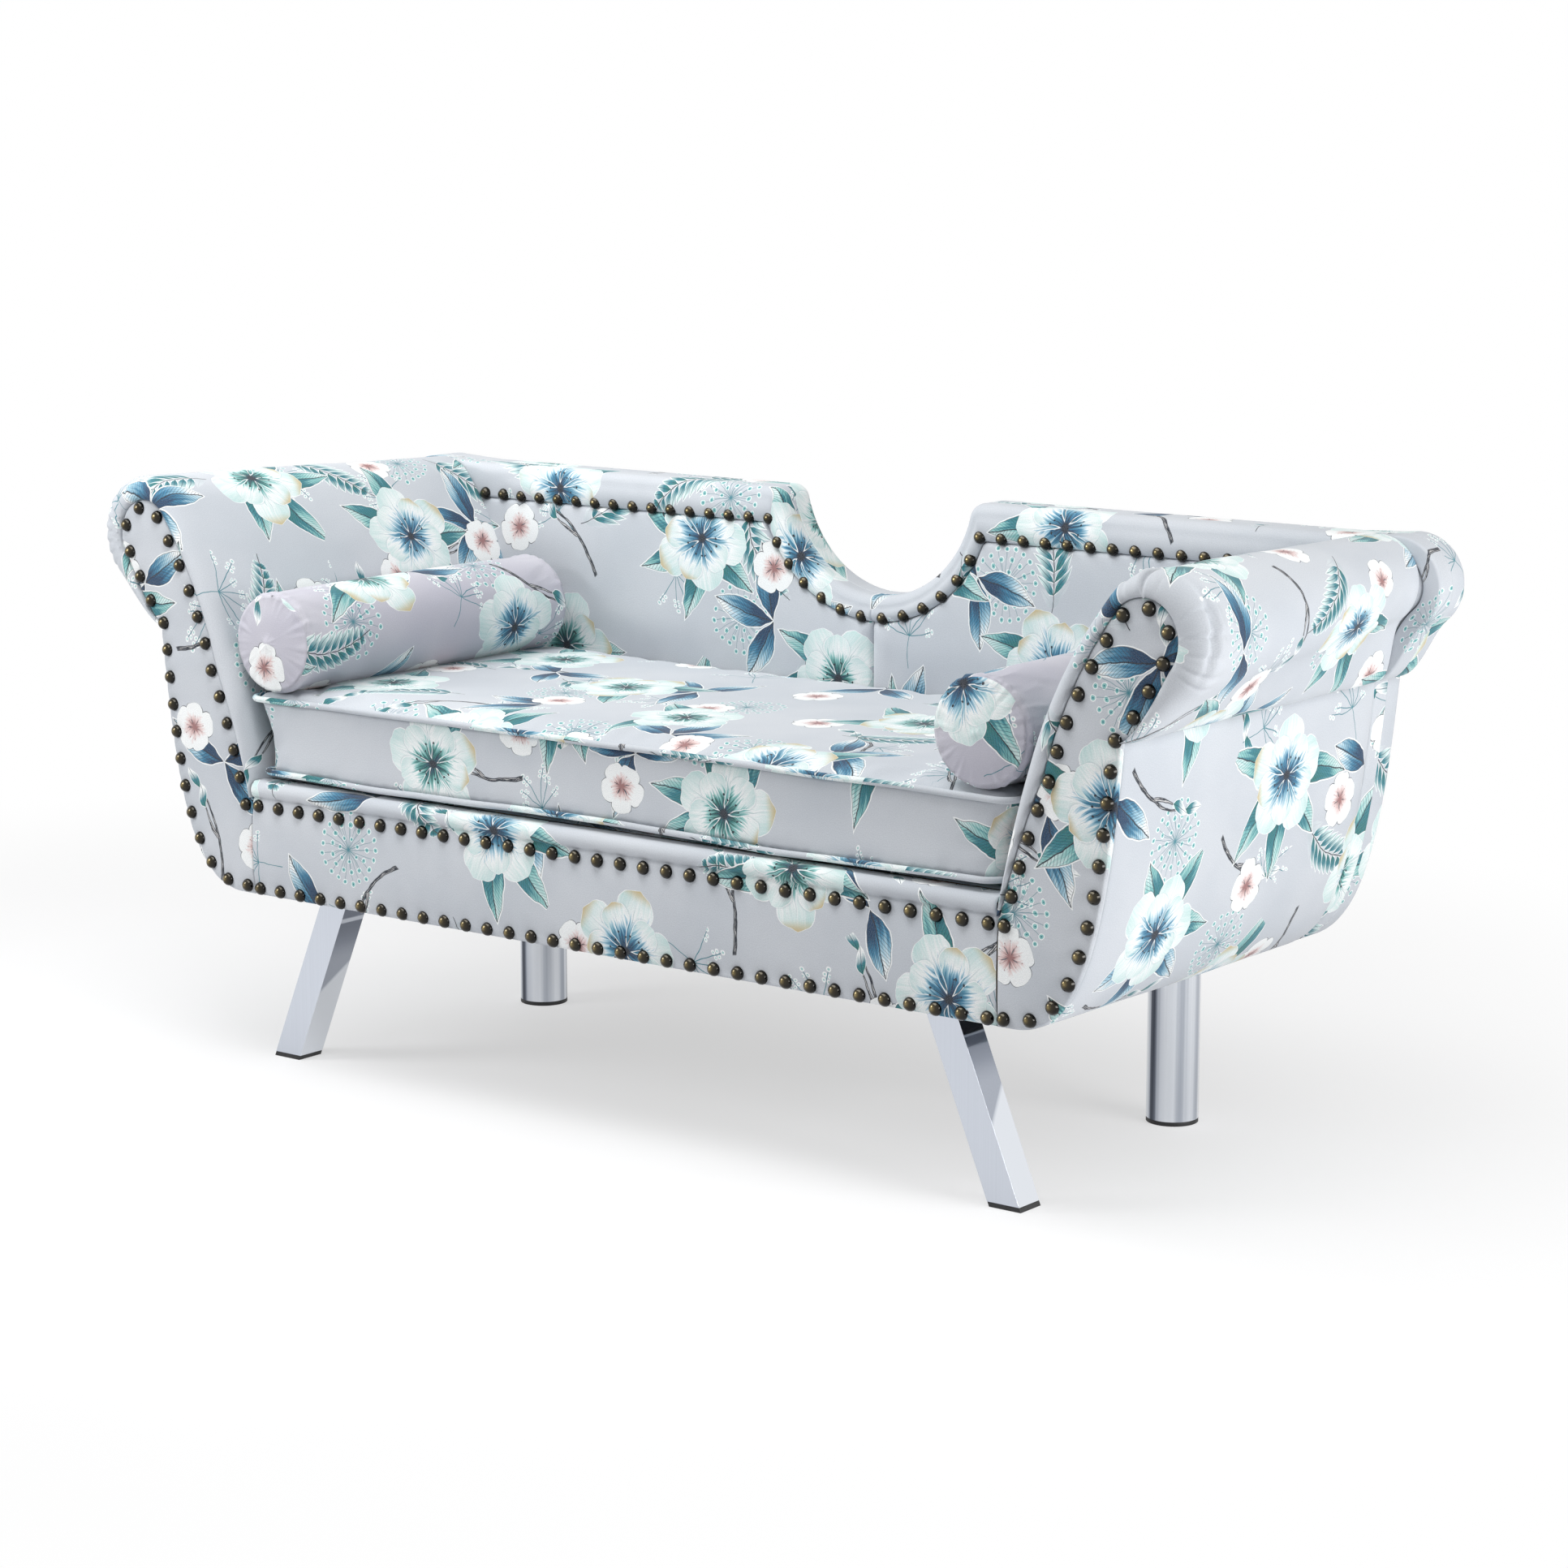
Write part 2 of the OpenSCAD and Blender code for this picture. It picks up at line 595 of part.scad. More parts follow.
// Bolts that hold each arm to its side rail
head_t = 5;
bolt_over = 8;
hex_share = 1.8;
module arm_bolts() {
    color(steel) both() for (y = bolt_y) translate([rail_x - rail_t, y, bolt_z]) rotate([0, 90, 0]) {
        cylinder(d = bolt_d, h = 2 * rail_t + bolt_over);
        translate([0, 0, -head_t - gap]) cylinder(d = hex_share * bolt_d, h = head_t, $fn = 6);
        translate([0, 0, -gap]) cylinder(d = bolt_d, h = over);
    }
}
module arm_nuts() {
    color(steel) both() for (y = bolt_y) translate([half + rail_t + gap, y, bolt_z]) rotate([0, 90, 0])
        difference() {
            cylinder(d = hex_share * bolt_d, h = head_t, $fn = 6);
            translate([0, 0, -over]) cylinder(d = bolt_d + gap, h = head_t + 2 * over);
        }
}

// Legs
front_leg_x = half - front_leg_in;
front_leg_c = front_y + front_leg_y;
rear_leg_x = half - rear_leg_in;
rear_leg_c = rear_y - rear_leg_y;
screw_in = 9;
// A leaning square bar between two levels
module front_tube(w, z0, z1) {
    intersection() {
        translate([front_leg_x, front_leg_c, 0]) rotate([0, -leg_lean, 0])
            translate([-w / 2, -w / 2, -body_z]) cube([w, w, 3 * body_z]);
        box([-half, front_y - over, z0], [2 * half, rear_y, z1]);
    }
}
module screw_places(lo) {
    for (x = [lo[0] + screw_in, lo[0] + block[0] - screw_in])
        for (y = [lo[1] + screw_in, lo[1] + block[1] - screw_in])
            translate([x, y, low_z]) children();
}
module leg_plate(lo) {
    difference() {
        translate([lo[0], lo[1], low_z]) cube([block[0], block[1], plate_t]);
        screw_places(lo) translate([0, 0, -over]) cylinder(d = screw_d + hole_play, h = plate_t + 2 * over);
    }
}
module front_leg() {
    color(steel) difference() {
        union() {
            front_tube(front_leg_w, cap_h, low_z + plate_t / 2);
            leg_plate(front_block);
        }
        front_tube(front_leg_w - 2 * tube_wall, 0, low_z);
    }
}
module rear_leg() {
    color(steel) difference() {
        union() {
            translate([rear_leg_x, rear_leg_c, cap_h])
                cylinder(d = rear_leg_d, h = low_z + plate_t / 2 - cap_h);
            leg_plate(rear_block);
        }
        translate([rear_leg_x, rear_leg_c, 0]) cylinder(d = rear_leg_d - 2 * tube_wall, h = low_z);
    }
}
plug_h = 14;
module front_foot_caps() {
    color("black") both() {
        front_tube(front_leg_w, 0, cap_h - gap / 3);
        front_tube(front_leg_w - 2 * tube_wall - 2 * gap, cap_h / 2, cap_h + plug_h);
    }
}
module rear_foot_caps() {
    color("black") both() translate([rear_leg_x, rear_leg_c, 0]) {
        cylinder(d = rear_leg_d, h = cap_h - gap / 3);
        cylinder(d = rear_leg_d - 2 * tube_wall - 2 * gap, h = cap_h + plug_h);
    }
}
screw_l = 28;
screw_head_t = 1.6;
module leg_screws() {
    color(steel) both() for (lo = [front_block, rear_block]) screw_places(lo) {
        translate([0, 0, -screw_head_t]) cylinder(d = 2 * screw_d, h = screw_head_t);
        cylinder(d = screw_d, h = screw_l);
    }
}

// Seat cushion: rings of points round a box with rounded corners, drawn in along its sides
cushion_z = deck_z + gap;
cushion_top = cushion_z + cushion_h;
cushion_spare = 4;
cushion_x = half + cushion_spare + cushion_h * tan(90 - arm_lean) - pipe_d / 2;
cushion_y0 = front_y + pipe_d / 2;
cushion_y1 = back_y - 1.5 * gap;
cushion_c = (cushion_y0 + cushion_y1) / 2;
corner_r = 18;
n_corner = 4;
n_long = 12;
n_short = 6;
// One quarter turn of the corner at (sx, sy), and the side that follows it
function cushion_ring(hx, hy, draw) = let (cx = hx - corner_r, cy = hy - corner_r) concat(
    [for (i = [0:n_corner]) let (a = 90 * i / n_corner) [cx, cy] + corner_r * [cos(a), sin(a)]],
    [for (i = [1:n_long - 1]) let (t = 1 - 2 * i / n_long) [cx * t, hy - draw * (1 - t * t)]],
    [for (i = [0:n_corner]) let (a = 90 + 90 * i / n_corner) [-cx, cy] + corner_r * [cos(a), sin(a)]],
    [for (i = [1:n_short - 1]) let (t = 1 - 2 * i / n_short) [-hx + draw * (1 - t * t), cy * t]],
    [for (i = [0:n_corner]) let (a = 180 + 90 * i / n_corner) [-cx, -cy] + corner_r * [cos(a), sin(a)]],
    [for (i = [1:n_long - 1]) let (t = 1 - 2 * i / n_long) [-cx * t, -hy + draw * (1 - t * t)]],
    [for (i = [0:n_corner]) let (a = 270 + 90 * i / n_corner) [cx, -cy] + corner_r * [cos(a), sin(a)]],
    [for (i = [1:n_short - 1]) let (t = 1 - 2 * i / n_short) [hx - draw * (1 - t * t), -cy * t]]);
cushion_hy = (cushion_y1 - cushion_y0) / 2;
function at_height(ring, z) = [for (p = ring) [p[0], p[1] + cushion_c, z]];
function side_half_x(t) = cushion_x - end_lean * (1 - t);
crown_power = 24;
seam_z = cushion_top - pipe_d / 3;
function crown_at(x) = seam_z + crown * (1 - pow(abs(x) / (cushion_x - pipe_d), crown_power));
// Upper face: rings that shrink towards the middle while they rise
crown_shares = [0.988, 0.965, 0.94, 0.9, 0.8, 0.4];
function crown_ring(s) = [for (p = cushion_ring(cushion_x - pipe_d, cushion_hy - pipe_d, draw_in))
    [p[0] * s, p[1] * s + cushion_c, seam_z + crown * (1 - pow(s, crown_power))]];
// Closed solid through horizontal rings, with a middle point below and above
module stack(rings, low, high) {
    n = len(rings[0]);
    m = len(rings);
    points = concat([low], [for (r = rings) each r], [high]);
    sides = [for (j = [0:m - 2]) for (i = [0:n - 1]) let (k = (i + 1) % n, a = 1 + j * n, b = a + n)
        each [[a + i, b + i, b + k], [a + i, b + k, a + k]]];
    ends = [for (i = [0:n - 1]) let (k = (i + 1) % n, t = 1 + (m - 1) * n)
        each [[0, 1 + i, 1 + k], [m * n + 1, t + k, t + i]]];
    polyhedron(points, concat(sides, ends));
}
bulge = 4;
// The cover's side at one share of the height, moved out by d from behind the piping
function side_ring(t, d) = let (back_off = pipe_d + gap - d) at_height(
    cushion_ring(side_half_x(t) - back_off, cushion_hy - back_off, draw_in), cushion_z + cushion_h * t);
module cushion_body() {
    pipe_share = 1.1 * pipe_d / cushion_h;
    low_ring = cushion_ring(side_half_x(0) - pipe_d - gap, cushion_hy - pipe_d - gap, draw_in);
    stack(concat(
        [at_height(cushion_ring(side_half_x(0) - 2 * pipe_d, cushion_hy - 2 * pipe_d, draw_in), cushion_z),
            at_height(low_ring, cushion_z + pipe_d / 4), at_height(low_ring, cushion_z + pipe_d + gap)],
        [for (t = [0.25, 0.5, 0.75]) side_ring(t, bulge)], [side_ring(1 - pipe_share, 0)],
        [at_height(cushion_ring(cushion_x - pipe_d, cushion_hy - pipe_d, draw_in), seam_z)],
        [for (s = crown_shares) crown_ring(s)]),
        [0, cushion_c, cushion_z], [0, cushion_c, seam_z + crown]);
}
// Foam block with sloping ends, as it is cut
wadding = 12;
module core_block(d) {
    w0 = side_half_x(0) - pipe_d - wadding + d;
    w1 = side_half_x(1) - pipe_d - wadding + d;
    z0 = cushion_z + wadding - d;
    z1 = cushion_top - wadding + d;
    hy = cushion_hy - pipe_d - draw_in - wadding + d;
    plate([[-w0, z0], [-w1, z1], [w1, z1], [w0, z0]], cushion_c - hy, cushion_c + hy);
}
module cushion_core() { color(foam) core_block(0); }
module cushion_cover() {
    color(cloth) difference() {
        cushion_body();
        core_block(gap);
    }
}
// Piping: a six-sided cord swept round the cushion's edge
module piping(hx, z) {
    path = cushion_ring(hx - pipe_d / 2, cushion_hy - pipe_d / 2, draw_in);
    n = len(path);
    r = (pipe_d - gap) / 2;
    points = [for (i = [0:n - 1])
        let (d = path[(i + 1) % n] - path[(i + n - 1) % n], u = [d[1], -d[0]] / norm(d))
        for (k = [0:5]) let (a = 60 * k, p = path[i] + u * r * cos(a))
            [p[0], p[1] + cushion_c, z + r * sin(a)]];
    faces = [for (i = [0:n - 1]) for (k = [0:5]) let (a = i * 6, b = ((i + 1) % n) * 6, m = (k + 1) % 6)
        each [[a + k, b + m, b + k], [a + k, a + m, b + m]]];
    polyhedron(points, faces);
}
module cushion_piping_top() { color(cloth) piping(cushion_x, seam_z); }
module cushion_piping_bottom() { color(cloth) piping(side_half_x(0), cushion_z + pipe_d / 2); }
zip_h = 8;
zip_t = 1.5;
// The zip follows the drawn-in rear side of the cover
zip_y = cushion_c + cushion_hy - pipe_d + bulge;
function zip_line(d) = [for (i = [0:n_short])
    let (x = half * (i / n_short - 0.5), t = x / (side_half_x(0.5) - pipe_d - corner_r))
    [x, zip_y - draw_in * (1 - t * t) + d]];
module cushion_zip() {
    color("lightslategray") translate([0, 0, cushion_z + (cushion_h - zip_h) / 2]) linear_extrude(zip_h)
        polygon(concat(zip_line(gap), flip(zip_line(gap + zip_t))));
}

// Bolsters lie on the cushion against the arms
bolster_x = half + cushion_h * tan(90 - arm_lean) - bolster_in;
bolster_z = crown_at(bolster_x) + bolster_d / 2 + gap;
bolster_len = back_y - front_y - bolster_gap;
bolster_c = front_y + bolster_len / 2;
n_dome = 6;
module bolster_shape(d) {
    r = bolster_d / 2 - d;
    l = bolster_len / 2 - d;
    end_r = (bolster_d * bolster_d / 4 + bolster_dome * bolster_dome) / (2 * bolster_dome);
    dome = [for (i = [0:n_dome]) let (a = asin(r / end_r) * i / n_dome)
        [end_r * sin(a), l - end_r * (1 - cos(a))]];
    translate([bolster_x, bolster_c, bolster_z]) rotate([90, 0, 0]) rotate_extrude()
        polygon(concat(dome, flip([for (p = dome) [p[0], -p[1]]])));
}
bolster_skin = 3;
module bolster_cover() {
    color([0.78, 0.76, 0.83]) difference() {
        bolster_shape(0);
        bolster_shape(bolster_skin);
    }
}
module bolster_core() { color(foam) bolster_shape(bolster_skin + gap); }

left() arm_front_board();  // arm_front_board_left
arm_front_board();  // arm_front_board_right
left() arm_rear_board();  // arm_rear_board_left
arm_rear_board();  // arm_rear_board_right
left() arm_slats();  // arm_slats_left
arm_slats();  // arm_slats_right
left() arm_foam();  // arm_foam_left
arm_foam();  // arm_foam_right
left() arm_cover();  // arm_cover_left
arm_cover();  // arm_cover_right
left() arm_side_panel();  // arm_side_panel_left
arm_side_panel();  // arm_side_panel_right
left() arm_front_panel();  // arm_front_panel_left
arm_front_panel();  // arm_front_panel_right
left() arm_nails();  // arm_nails_left
arm_nails();  // arm_nails_right
back_board();
back_nail_frame();
back_foam();
back_cover_left();
back_cover_right();
back_border();
back_rim_cover();
back_outside_cover();
back_posts();
back_top_battens();
back_bottom_rail();
back_nails();
front_rail();
rear_rail();
left() side_rail();  // side_rail_left
side_rail();  // side_rail_right
centre_stretcher();
leg_blocks();
seat_springs();
spring_clips();
deck_pad();
rail_foam();
rail_cover();
rail_nails();
dust_cover();
arm_bolts();
arm_nuts();
leg_screws();
left() front_leg();  // front_leg_left
front_leg();  // front_leg_right
left() rear_leg();  // rear_leg_left
rear_leg();  // rear_leg_right
front_foot_caps();
rear_foot_caps();
cushion_core();
cushion_cover();
cushion_piping_top();
cushion_piping_bottom();
cushion_zip();
left() bolster_core();  // bolster_core_left
bolster_core();  // bolster_core_right
left() bolster_cover();  // bolster_cover_left
bolster_cover();  // bolster_cover_right
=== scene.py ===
"""Looks of an upholstered settee with flared scroll arms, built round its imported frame.

Lengths are in millimetres until a mesh is made. The frame itself is in metres."""
import math

import bmesh
import bpy
import numpy as np
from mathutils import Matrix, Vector
from mathutils.geometry import delaunay_2d_cdt


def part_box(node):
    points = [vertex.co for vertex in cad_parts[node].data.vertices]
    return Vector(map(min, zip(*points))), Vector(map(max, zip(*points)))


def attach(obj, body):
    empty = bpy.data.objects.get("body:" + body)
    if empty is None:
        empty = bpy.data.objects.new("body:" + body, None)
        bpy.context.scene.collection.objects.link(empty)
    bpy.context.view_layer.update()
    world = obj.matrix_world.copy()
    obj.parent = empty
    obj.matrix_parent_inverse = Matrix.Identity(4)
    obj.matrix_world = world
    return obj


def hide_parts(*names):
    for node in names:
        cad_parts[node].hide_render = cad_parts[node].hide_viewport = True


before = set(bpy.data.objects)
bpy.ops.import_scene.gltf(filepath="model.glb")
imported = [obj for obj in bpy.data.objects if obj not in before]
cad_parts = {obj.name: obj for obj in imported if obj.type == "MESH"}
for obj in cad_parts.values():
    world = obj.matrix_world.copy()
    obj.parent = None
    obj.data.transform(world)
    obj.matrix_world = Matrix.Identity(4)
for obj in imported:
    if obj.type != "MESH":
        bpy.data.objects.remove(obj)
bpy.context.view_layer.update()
MM = 0.001


def node_box(name):
    """Lowest and highest corner of a frame node, in millimetres."""
    low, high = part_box(name)
    return np.array(low) / MM, np.array(high) / MM


# Planes of the frame
HALF, FRONT_Y, BODY_Z = node_box("arm_front_panel_right")[0]
DECK_Z = node_box("deck_pad")[1][2]
BACK_Y = node_box("back_cover_right")[0][1]
REAR_Y = node_box("back_outside_cover")[1][1]
ARM_END_Y = node_box("arm_cover_right")[1][1]
BORDER_END_Y = node_box("back_border")[1][1]
BACK_RISE = 334
TOP_Z = DECK_Z + BACK_RISE

# Scrolls: centre beside the rail end, centre above the deck, radius
FRONT_SCROLL = (181, 282, 70)
REAR_SCROLL = (149, 288, 51)
BACK_SCROLL = (170, 283, 55)
NECK_OUT = 149
NECK_RISE = 175
NECK = np.array([HALF + NECK_OUT, DECK_Z + NECK_RISE])
SCROLL_START = 142
SCROLL_END = -50
ARM_LEAN = 82
INNER_PULL = 150
SCROLL_PULL = 110
UNDER_PULL = 24
SIDE_SHARES = (-0.12, -0.61, 0.73, 0.13)

# Padded roll round the arm front
EDGE_W = 26
HEAD_SHIFT = 10
TIP_SHARE = 0.2
TIP_RUN_SHARE = 0.35
CLOTH_T = 2
PANEL_T = 6
LIP_DROP = 20

# Points along the parts of an arm's section
N_TIP = 6
N_IN = 40
N_SCROLL = 132
N_UNDER = 12
N_SIDE = 48

# Back
NOTCH_R = 142
NOTCH_Z = TOP_Z + 20
SHOULDER_R = 20
BORDER_TOP = 39
BORDER_NOTCH = 26
BACK_EDGE_R = 14
END_EDGE_R = 3.5
END_BORDER = 22
INNER_CORNER_R = 4
LAST_NAIL_X = HALF + 81
BACK_SCROLL_START = 100
NOTCH_SHARES = np.concatenate([[0, 0.0025, 0.005, 0.009, 0.014], np.linspace(0, 1, 45)[1:]])
N_SHOULDER = 12
N_TOP = 40

# Nails
NAIL_D = 16
NAIL_H = 6.5
NAIL_IN = NAIL_D / 2 + 1.5
NAIL_PITCH = 33
DOME_RINGS = 7
NAIL_SIDES = 24
NAIL_TILT = 0.035
NAIL_UNEVEN = (-0.2, 0.3)
# Dimples at the nails: depth and half width
PANEL_DIMPLE = (1.6, 13)
BORDER_DIMPLE = (1.4, 12)
RAIL_DIMPLE = (1.5, 13)

# Rolled lip along the front rail
LIP_R = 11
LIP_FORWARD = 3

# Seat cushion
CUSHION_Z = DECK_Z + 0.3
CUSHION_H = 102
CUSHION_TOP = CUSHION_Z + CUSHION_H
CROWN = 10
CROWN_POWER = 24
DRAW_IN = 5
END_LEAN = 19
PIPE_D = 9
PIPE_R = 3.7
CORNER_R = 18
CUSHION_X = node_box("cushion_piping_top")[1][0]
CUSHION_Y0 = node_box("cushion_piping_top")[0][1]
CUSHION_Y1 = node_box("cushion_piping_top")[1][1]
CUSHION_C = (CUSHION_Y0 + CUSHION_Y1) / 2
CUSHION_HY = (CUSHION_Y1 - CUSHION_Y0) / 2

# Bolsters
bolster_low, bolster_high = node_box("bolster_cover_right")
BOLSTER_R = (bolster_high[0] - bolster_low[0]) / 2
BOLSTER_X = (bolster_high[0] + bolster_low[0]) / 2
BOLSTER_Z = (bolster_high[2] + bolster_low[2]) / 2
BOLSTER_Y0 = bolster_low[1]
BOLSTER_Y1 = bolster_high[1]
BOLSTER_DOME = 10

SIDE_NAMES = {1: "right", -1: "left"}
# Where each piece lies on the printed cloth, and how far its left and right ones are from their middle
CUTS = {"arm_cover": (1200, 300, 900), "arm_front": (2300, 1400, 700), "arm_side": (2622, 2900, 900),
        "back_border": (400, 5200, 0), "back_rim": (700, 5600, 0), "back_outside": (700, 7000, 0),
        "back_inside": (800, 4200, 500), "rail": (1200, 3700, 0), "deck": (300, 8600, 0),
        "cushion_top": (1500, 6300, 0), "cushion_foot": (1500, 9300, 0), "cushion_side": (5200, 500, 0),
        "piping": (600, 9900, 0), "bolster": (4200, 1200, 900), "bolster_end": (5200, 2000, 300)}


def cut(name, side=0):
    """Place on the printed cloth, in millimetres."""
    x, y, apart = CUTS[name]
    return np.array([x + apart * side, y])


# Curves

def bezier(handles, t):
    a, b, c, d = np.asarray(handles, float)
    t = np.asarray(t, float)[:, None]
    return a * (1 - t) ** 3 + 3 * b * t * (1 - t) ** 2 + 3 * c * t * t * (1 - t) + d * t ** 3


def arc(centre, radius, degrees):
    angle = np.radians(np.asarray(degrees, float))
    return np.asarray(centre, float) + radius * np.stack([np.cos(angle), np.sin(angle)], -1)


def turn_at(degrees):
    """Direction square to a scroll's radius."""
    return np.array([math.sin(math.radians(degrees)), -math.cos(math.radians(degrees))])


def scroll_arc(scroll, degrees):
    return arc((HALF + scroll[0], DECK_Z + scroll[1]), scroll[2], degrees)


def inner_line(scroll, t):
    foot = np.array([HALF, DECK_Z])
    lean = math.radians(ARM_LEAN)
    end = scroll_arc(scroll, [SCROLL_START])[0]
    return bezier([foot, foot + INNER_PULL * np.array([math.cos(lean), math.sin(lean)]),
                   end - SCROLL_PULL * turn_at(SCROLL_START), end], t)


def under_line(scroll, t):
    start = scroll_arc(scroll, [SCROLL_END])[0]
    return bezier([start, start + UNDER_PULL * turn_at(SCROLL_END), NECK + [UNDER_PULL, 0], NECK], t)


def shares(count, with_end=False):
    return np.arange(count + (1 if with_end else 0)) / count


def scroll_angles(start, count):
    return start + (SCROLL_END - start) * shares(count)


def arm_curve(scroll):
    """Section of the arm from the deck over the scroll to the neck."""
    head = scroll_arc(scroll, scroll_angles(SCROLL_START, N_SCROLL))
    return np.concatenate([inner_line(scroll, shares(N_IN)), head, under_line(scroll, shares(N_UNDER, True))])


def side_curve():
    """Outside of the arm from the neck down to the underside."""
    reach, drop = NECK[0] - HALF, NECK[1] - BODY_Z
    handles = [NECK, NECK + [SIDE_SHARES[0] * reach, SIDE_SHARES[1] * drop],
               [HALF + SIDE_SHARES[2] * reach, BODY_Z], [HALF + SIDE_SHARES[3] * reach, BODY_Z]]
    return bezier(handles, shares(N_SIDE, True))


def head_edge(degrees):
    return EDGE_W + HEAD_SHIFT * np.cos(np.radians(degrees))


def edge_widths():
    """Width of the padded front roll at each point of the arm's section."""
    t = shares(N_IN)
    grow = np.minimum(1, TIP_SHARE + t * (1 - TIP_SHARE) / TIP_RUN_SHARE)
    return np.concatenate([(EDGE_W + (head_edge(SCROLL_START) - EDGE_W) * t) * grow,
                           head_edge(scroll_angles(SCROLL_START, N_SCROLL)),
                           head_edge(SCROLL_END) * (1 - shares(N_UNDER, True))])


def normals(line):
    """Unit vectors that point from a line into the body behind it."""
    step = np.empty_like(line)
    step[1:-1] = line[2:] - line[:-2]
    step[0] = line[1] - line[0]
    step[-1] = line[-1] - line[-2]
    return np.stack([step[:, 1], -step[:, 0]], -1) / np.linalg.norm(step, axis=1)[:, None]


def inset(line, distance):
    return line + normals(line) * np.broadcast_to(distance, len(line))[:, None]


def lengths(line):
    return np.concatenate([[0], np.cumsum(np.linalg.norm(np.diff(line, axis=0), axis=1))])


def spaced(line, count):
    """Points at even distances along a line, ends included."""
    run = lengths(line)
    places = np.linspace(0, run[-1], count + 1)
    return np.stack([np.interp(places, run, line[:, k]) for k in range(line.shape[1])], -1)


def ripple(points, wave, seed):
    """Smooth unevenness, mostly between -1 and 1, with bumps about one wave long."""
    rng = np.random.default_rng(seed)
    total = np.zeros(points.shape[:-1])
    for _ in range(7):
        direction = rng.normal(size=points.shape[-1])
        direction *= 2 * np.pi / (np.linalg.norm(direction) * wave * rng.uniform(0.7, 1.6))
        total += np.sin(points @ direction + rng.uniform(0, 2 * np.pi))
    return total / 3


def puckers(run, pitch, seed):
    """Unevenness along a sewn edge, in gathers about one pitch long."""
    rng = np.random.default_rng(seed)
    total = np.zeros(np.shape(run))
    for stretch in (0.7, 0.9, 1.15, 1.6):
        wave = pitch * stretch * rng.uniform(0.92, 1.08)
        total += np.sin(run * 2 * np.pi / wave + rng.uniform(0, 6))
    return total / 2


def smooth_step(x, low, high):
    t = np.clip((x - low) / (high - low), 0, 1)
    return t * t * (3 - 2 * t)


# Meshes

WELD = 0.05


def add_object(name, data):
    made = bpy.data.objects.new(name, data)
    bpy.context.scene.collection.objects.link(made)
    return made


class Shell:
    """Patches of one surface, welded into a mesh with print coordinates in metres."""

    def __init__(self):
        self.points = []
        self.faces = []
        self.prints = []
        self.count = 0

    def patch(self, points, print_at, faces):
        self.points.append(points)
        for face in faces:
            self.faces.append([int(k) + self.count for k in face])
        self.prints.append(print_at)
        self.count += len(points)

    def grid(self, points, print_at, flip=False):
        """Adds rows and columns of points. Flip turns its faces round."""
        rows, cols = points.shape[:2]
        k = np.arange(rows * cols).reshape(rows, cols)
        quads = np.stack([k[:-1, :-1], k[1:, :-1], k[1:, 1:], k[:-1, 1:]], -1).reshape(-1, 4)
        if flip:
            quads = quads[:, ::-1]
        self.patch(points.reshape(-1, 3), print_at.reshape(-1, 2), quads)

    def build(self, name, outward=True):
        points = np.concatenate(self.points) * MM
        prints = np.concatenate(self.prints) * MM
        mesh = bpy.data.meshes.new(name)
        mesh.from_pydata(points.tolist(), [], self.faces)
        layer = mesh.uv_layers.new(name="print")
        corners = np.concatenate([np.asarray(face) for face in self.faces])
        layer.data.foreach_set("uv", prints[corners].ravel())
        form = bmesh.new()
        form.from_mesh(mesh)
        bmesh.ops.remove_doubles(form, verts=form.verts, dist=WELD * MM)
        if outward:
            bmesh.ops.recalc_face_normals(form, faces=form.faces)
        form.to_mesh(mesh)
        form.free()
        mesh.shade_smooth()
        return add_object(name, mesh)


def grid_of(*places):
    """Points of a grid from its places along each axis."""
    return np.stack(np.broadcast_arrays(*places), -1)


def one_grid(name, points, print_at, flip=False):
    """Open piece of cloth made of one grid."""
    shell = Shell()
    shell.grid(points, print_at, flip)
    return shell.build(name, outward=False)


def mesh_points(mesh):
    """Places of a mesh's points, in metres."""
    flat = np.empty(len(mesh.vertices) * 3)
    mesh.vertices.foreach_get("co", flat)
    return flat.reshape(-1, 3)


def put_points(mesh, points):
    mesh.vertices.foreach_set("co", points.ravel())
    mesh.update()


def closed(line):
    return np.concatenate([line, line[:1]])


def with_depth(line, y):
    """Points or directions in X and Z, at a depth."""
    return np.stack([line[:, 0], np.broadcast_to(y, len(line)), line[:, 1]], -1)


def mirrored(points, side):
    return points * np.array([side, 1, 1])


def edge_distance(points, outline):
    """Distance of each point from a closed outline."""
    best = np.full(len(points), 1e9)
    for a, b in zip(outline, np.roll(outline, -1, axis=0)):
        run = b - a
        t = np.clip((points - a) @ run / max(run @ run, 1e-9), 0, 1)
        best = np.minimum(best, np.linalg.norm(points - a - t[:, None] * run, axis=1))
    return best


def is_inside(points, outline):
    """Which points a closed outline holds."""
    held = np.zeros(len(points), bool)
    for a, b in zip(outline, np.roll(outline, -1, axis=0)):
        crosses = (a[1] > points[:, 1]) != (b[1] > points[:, 1])
        if crosses.any():
            x = a[0] + (points[:, 1] - a[1]) / (b[1] - a[1] + 1e-12) * (b[0] - a[0])
            held ^= crosses & (points[:, 0] < x)
    return held


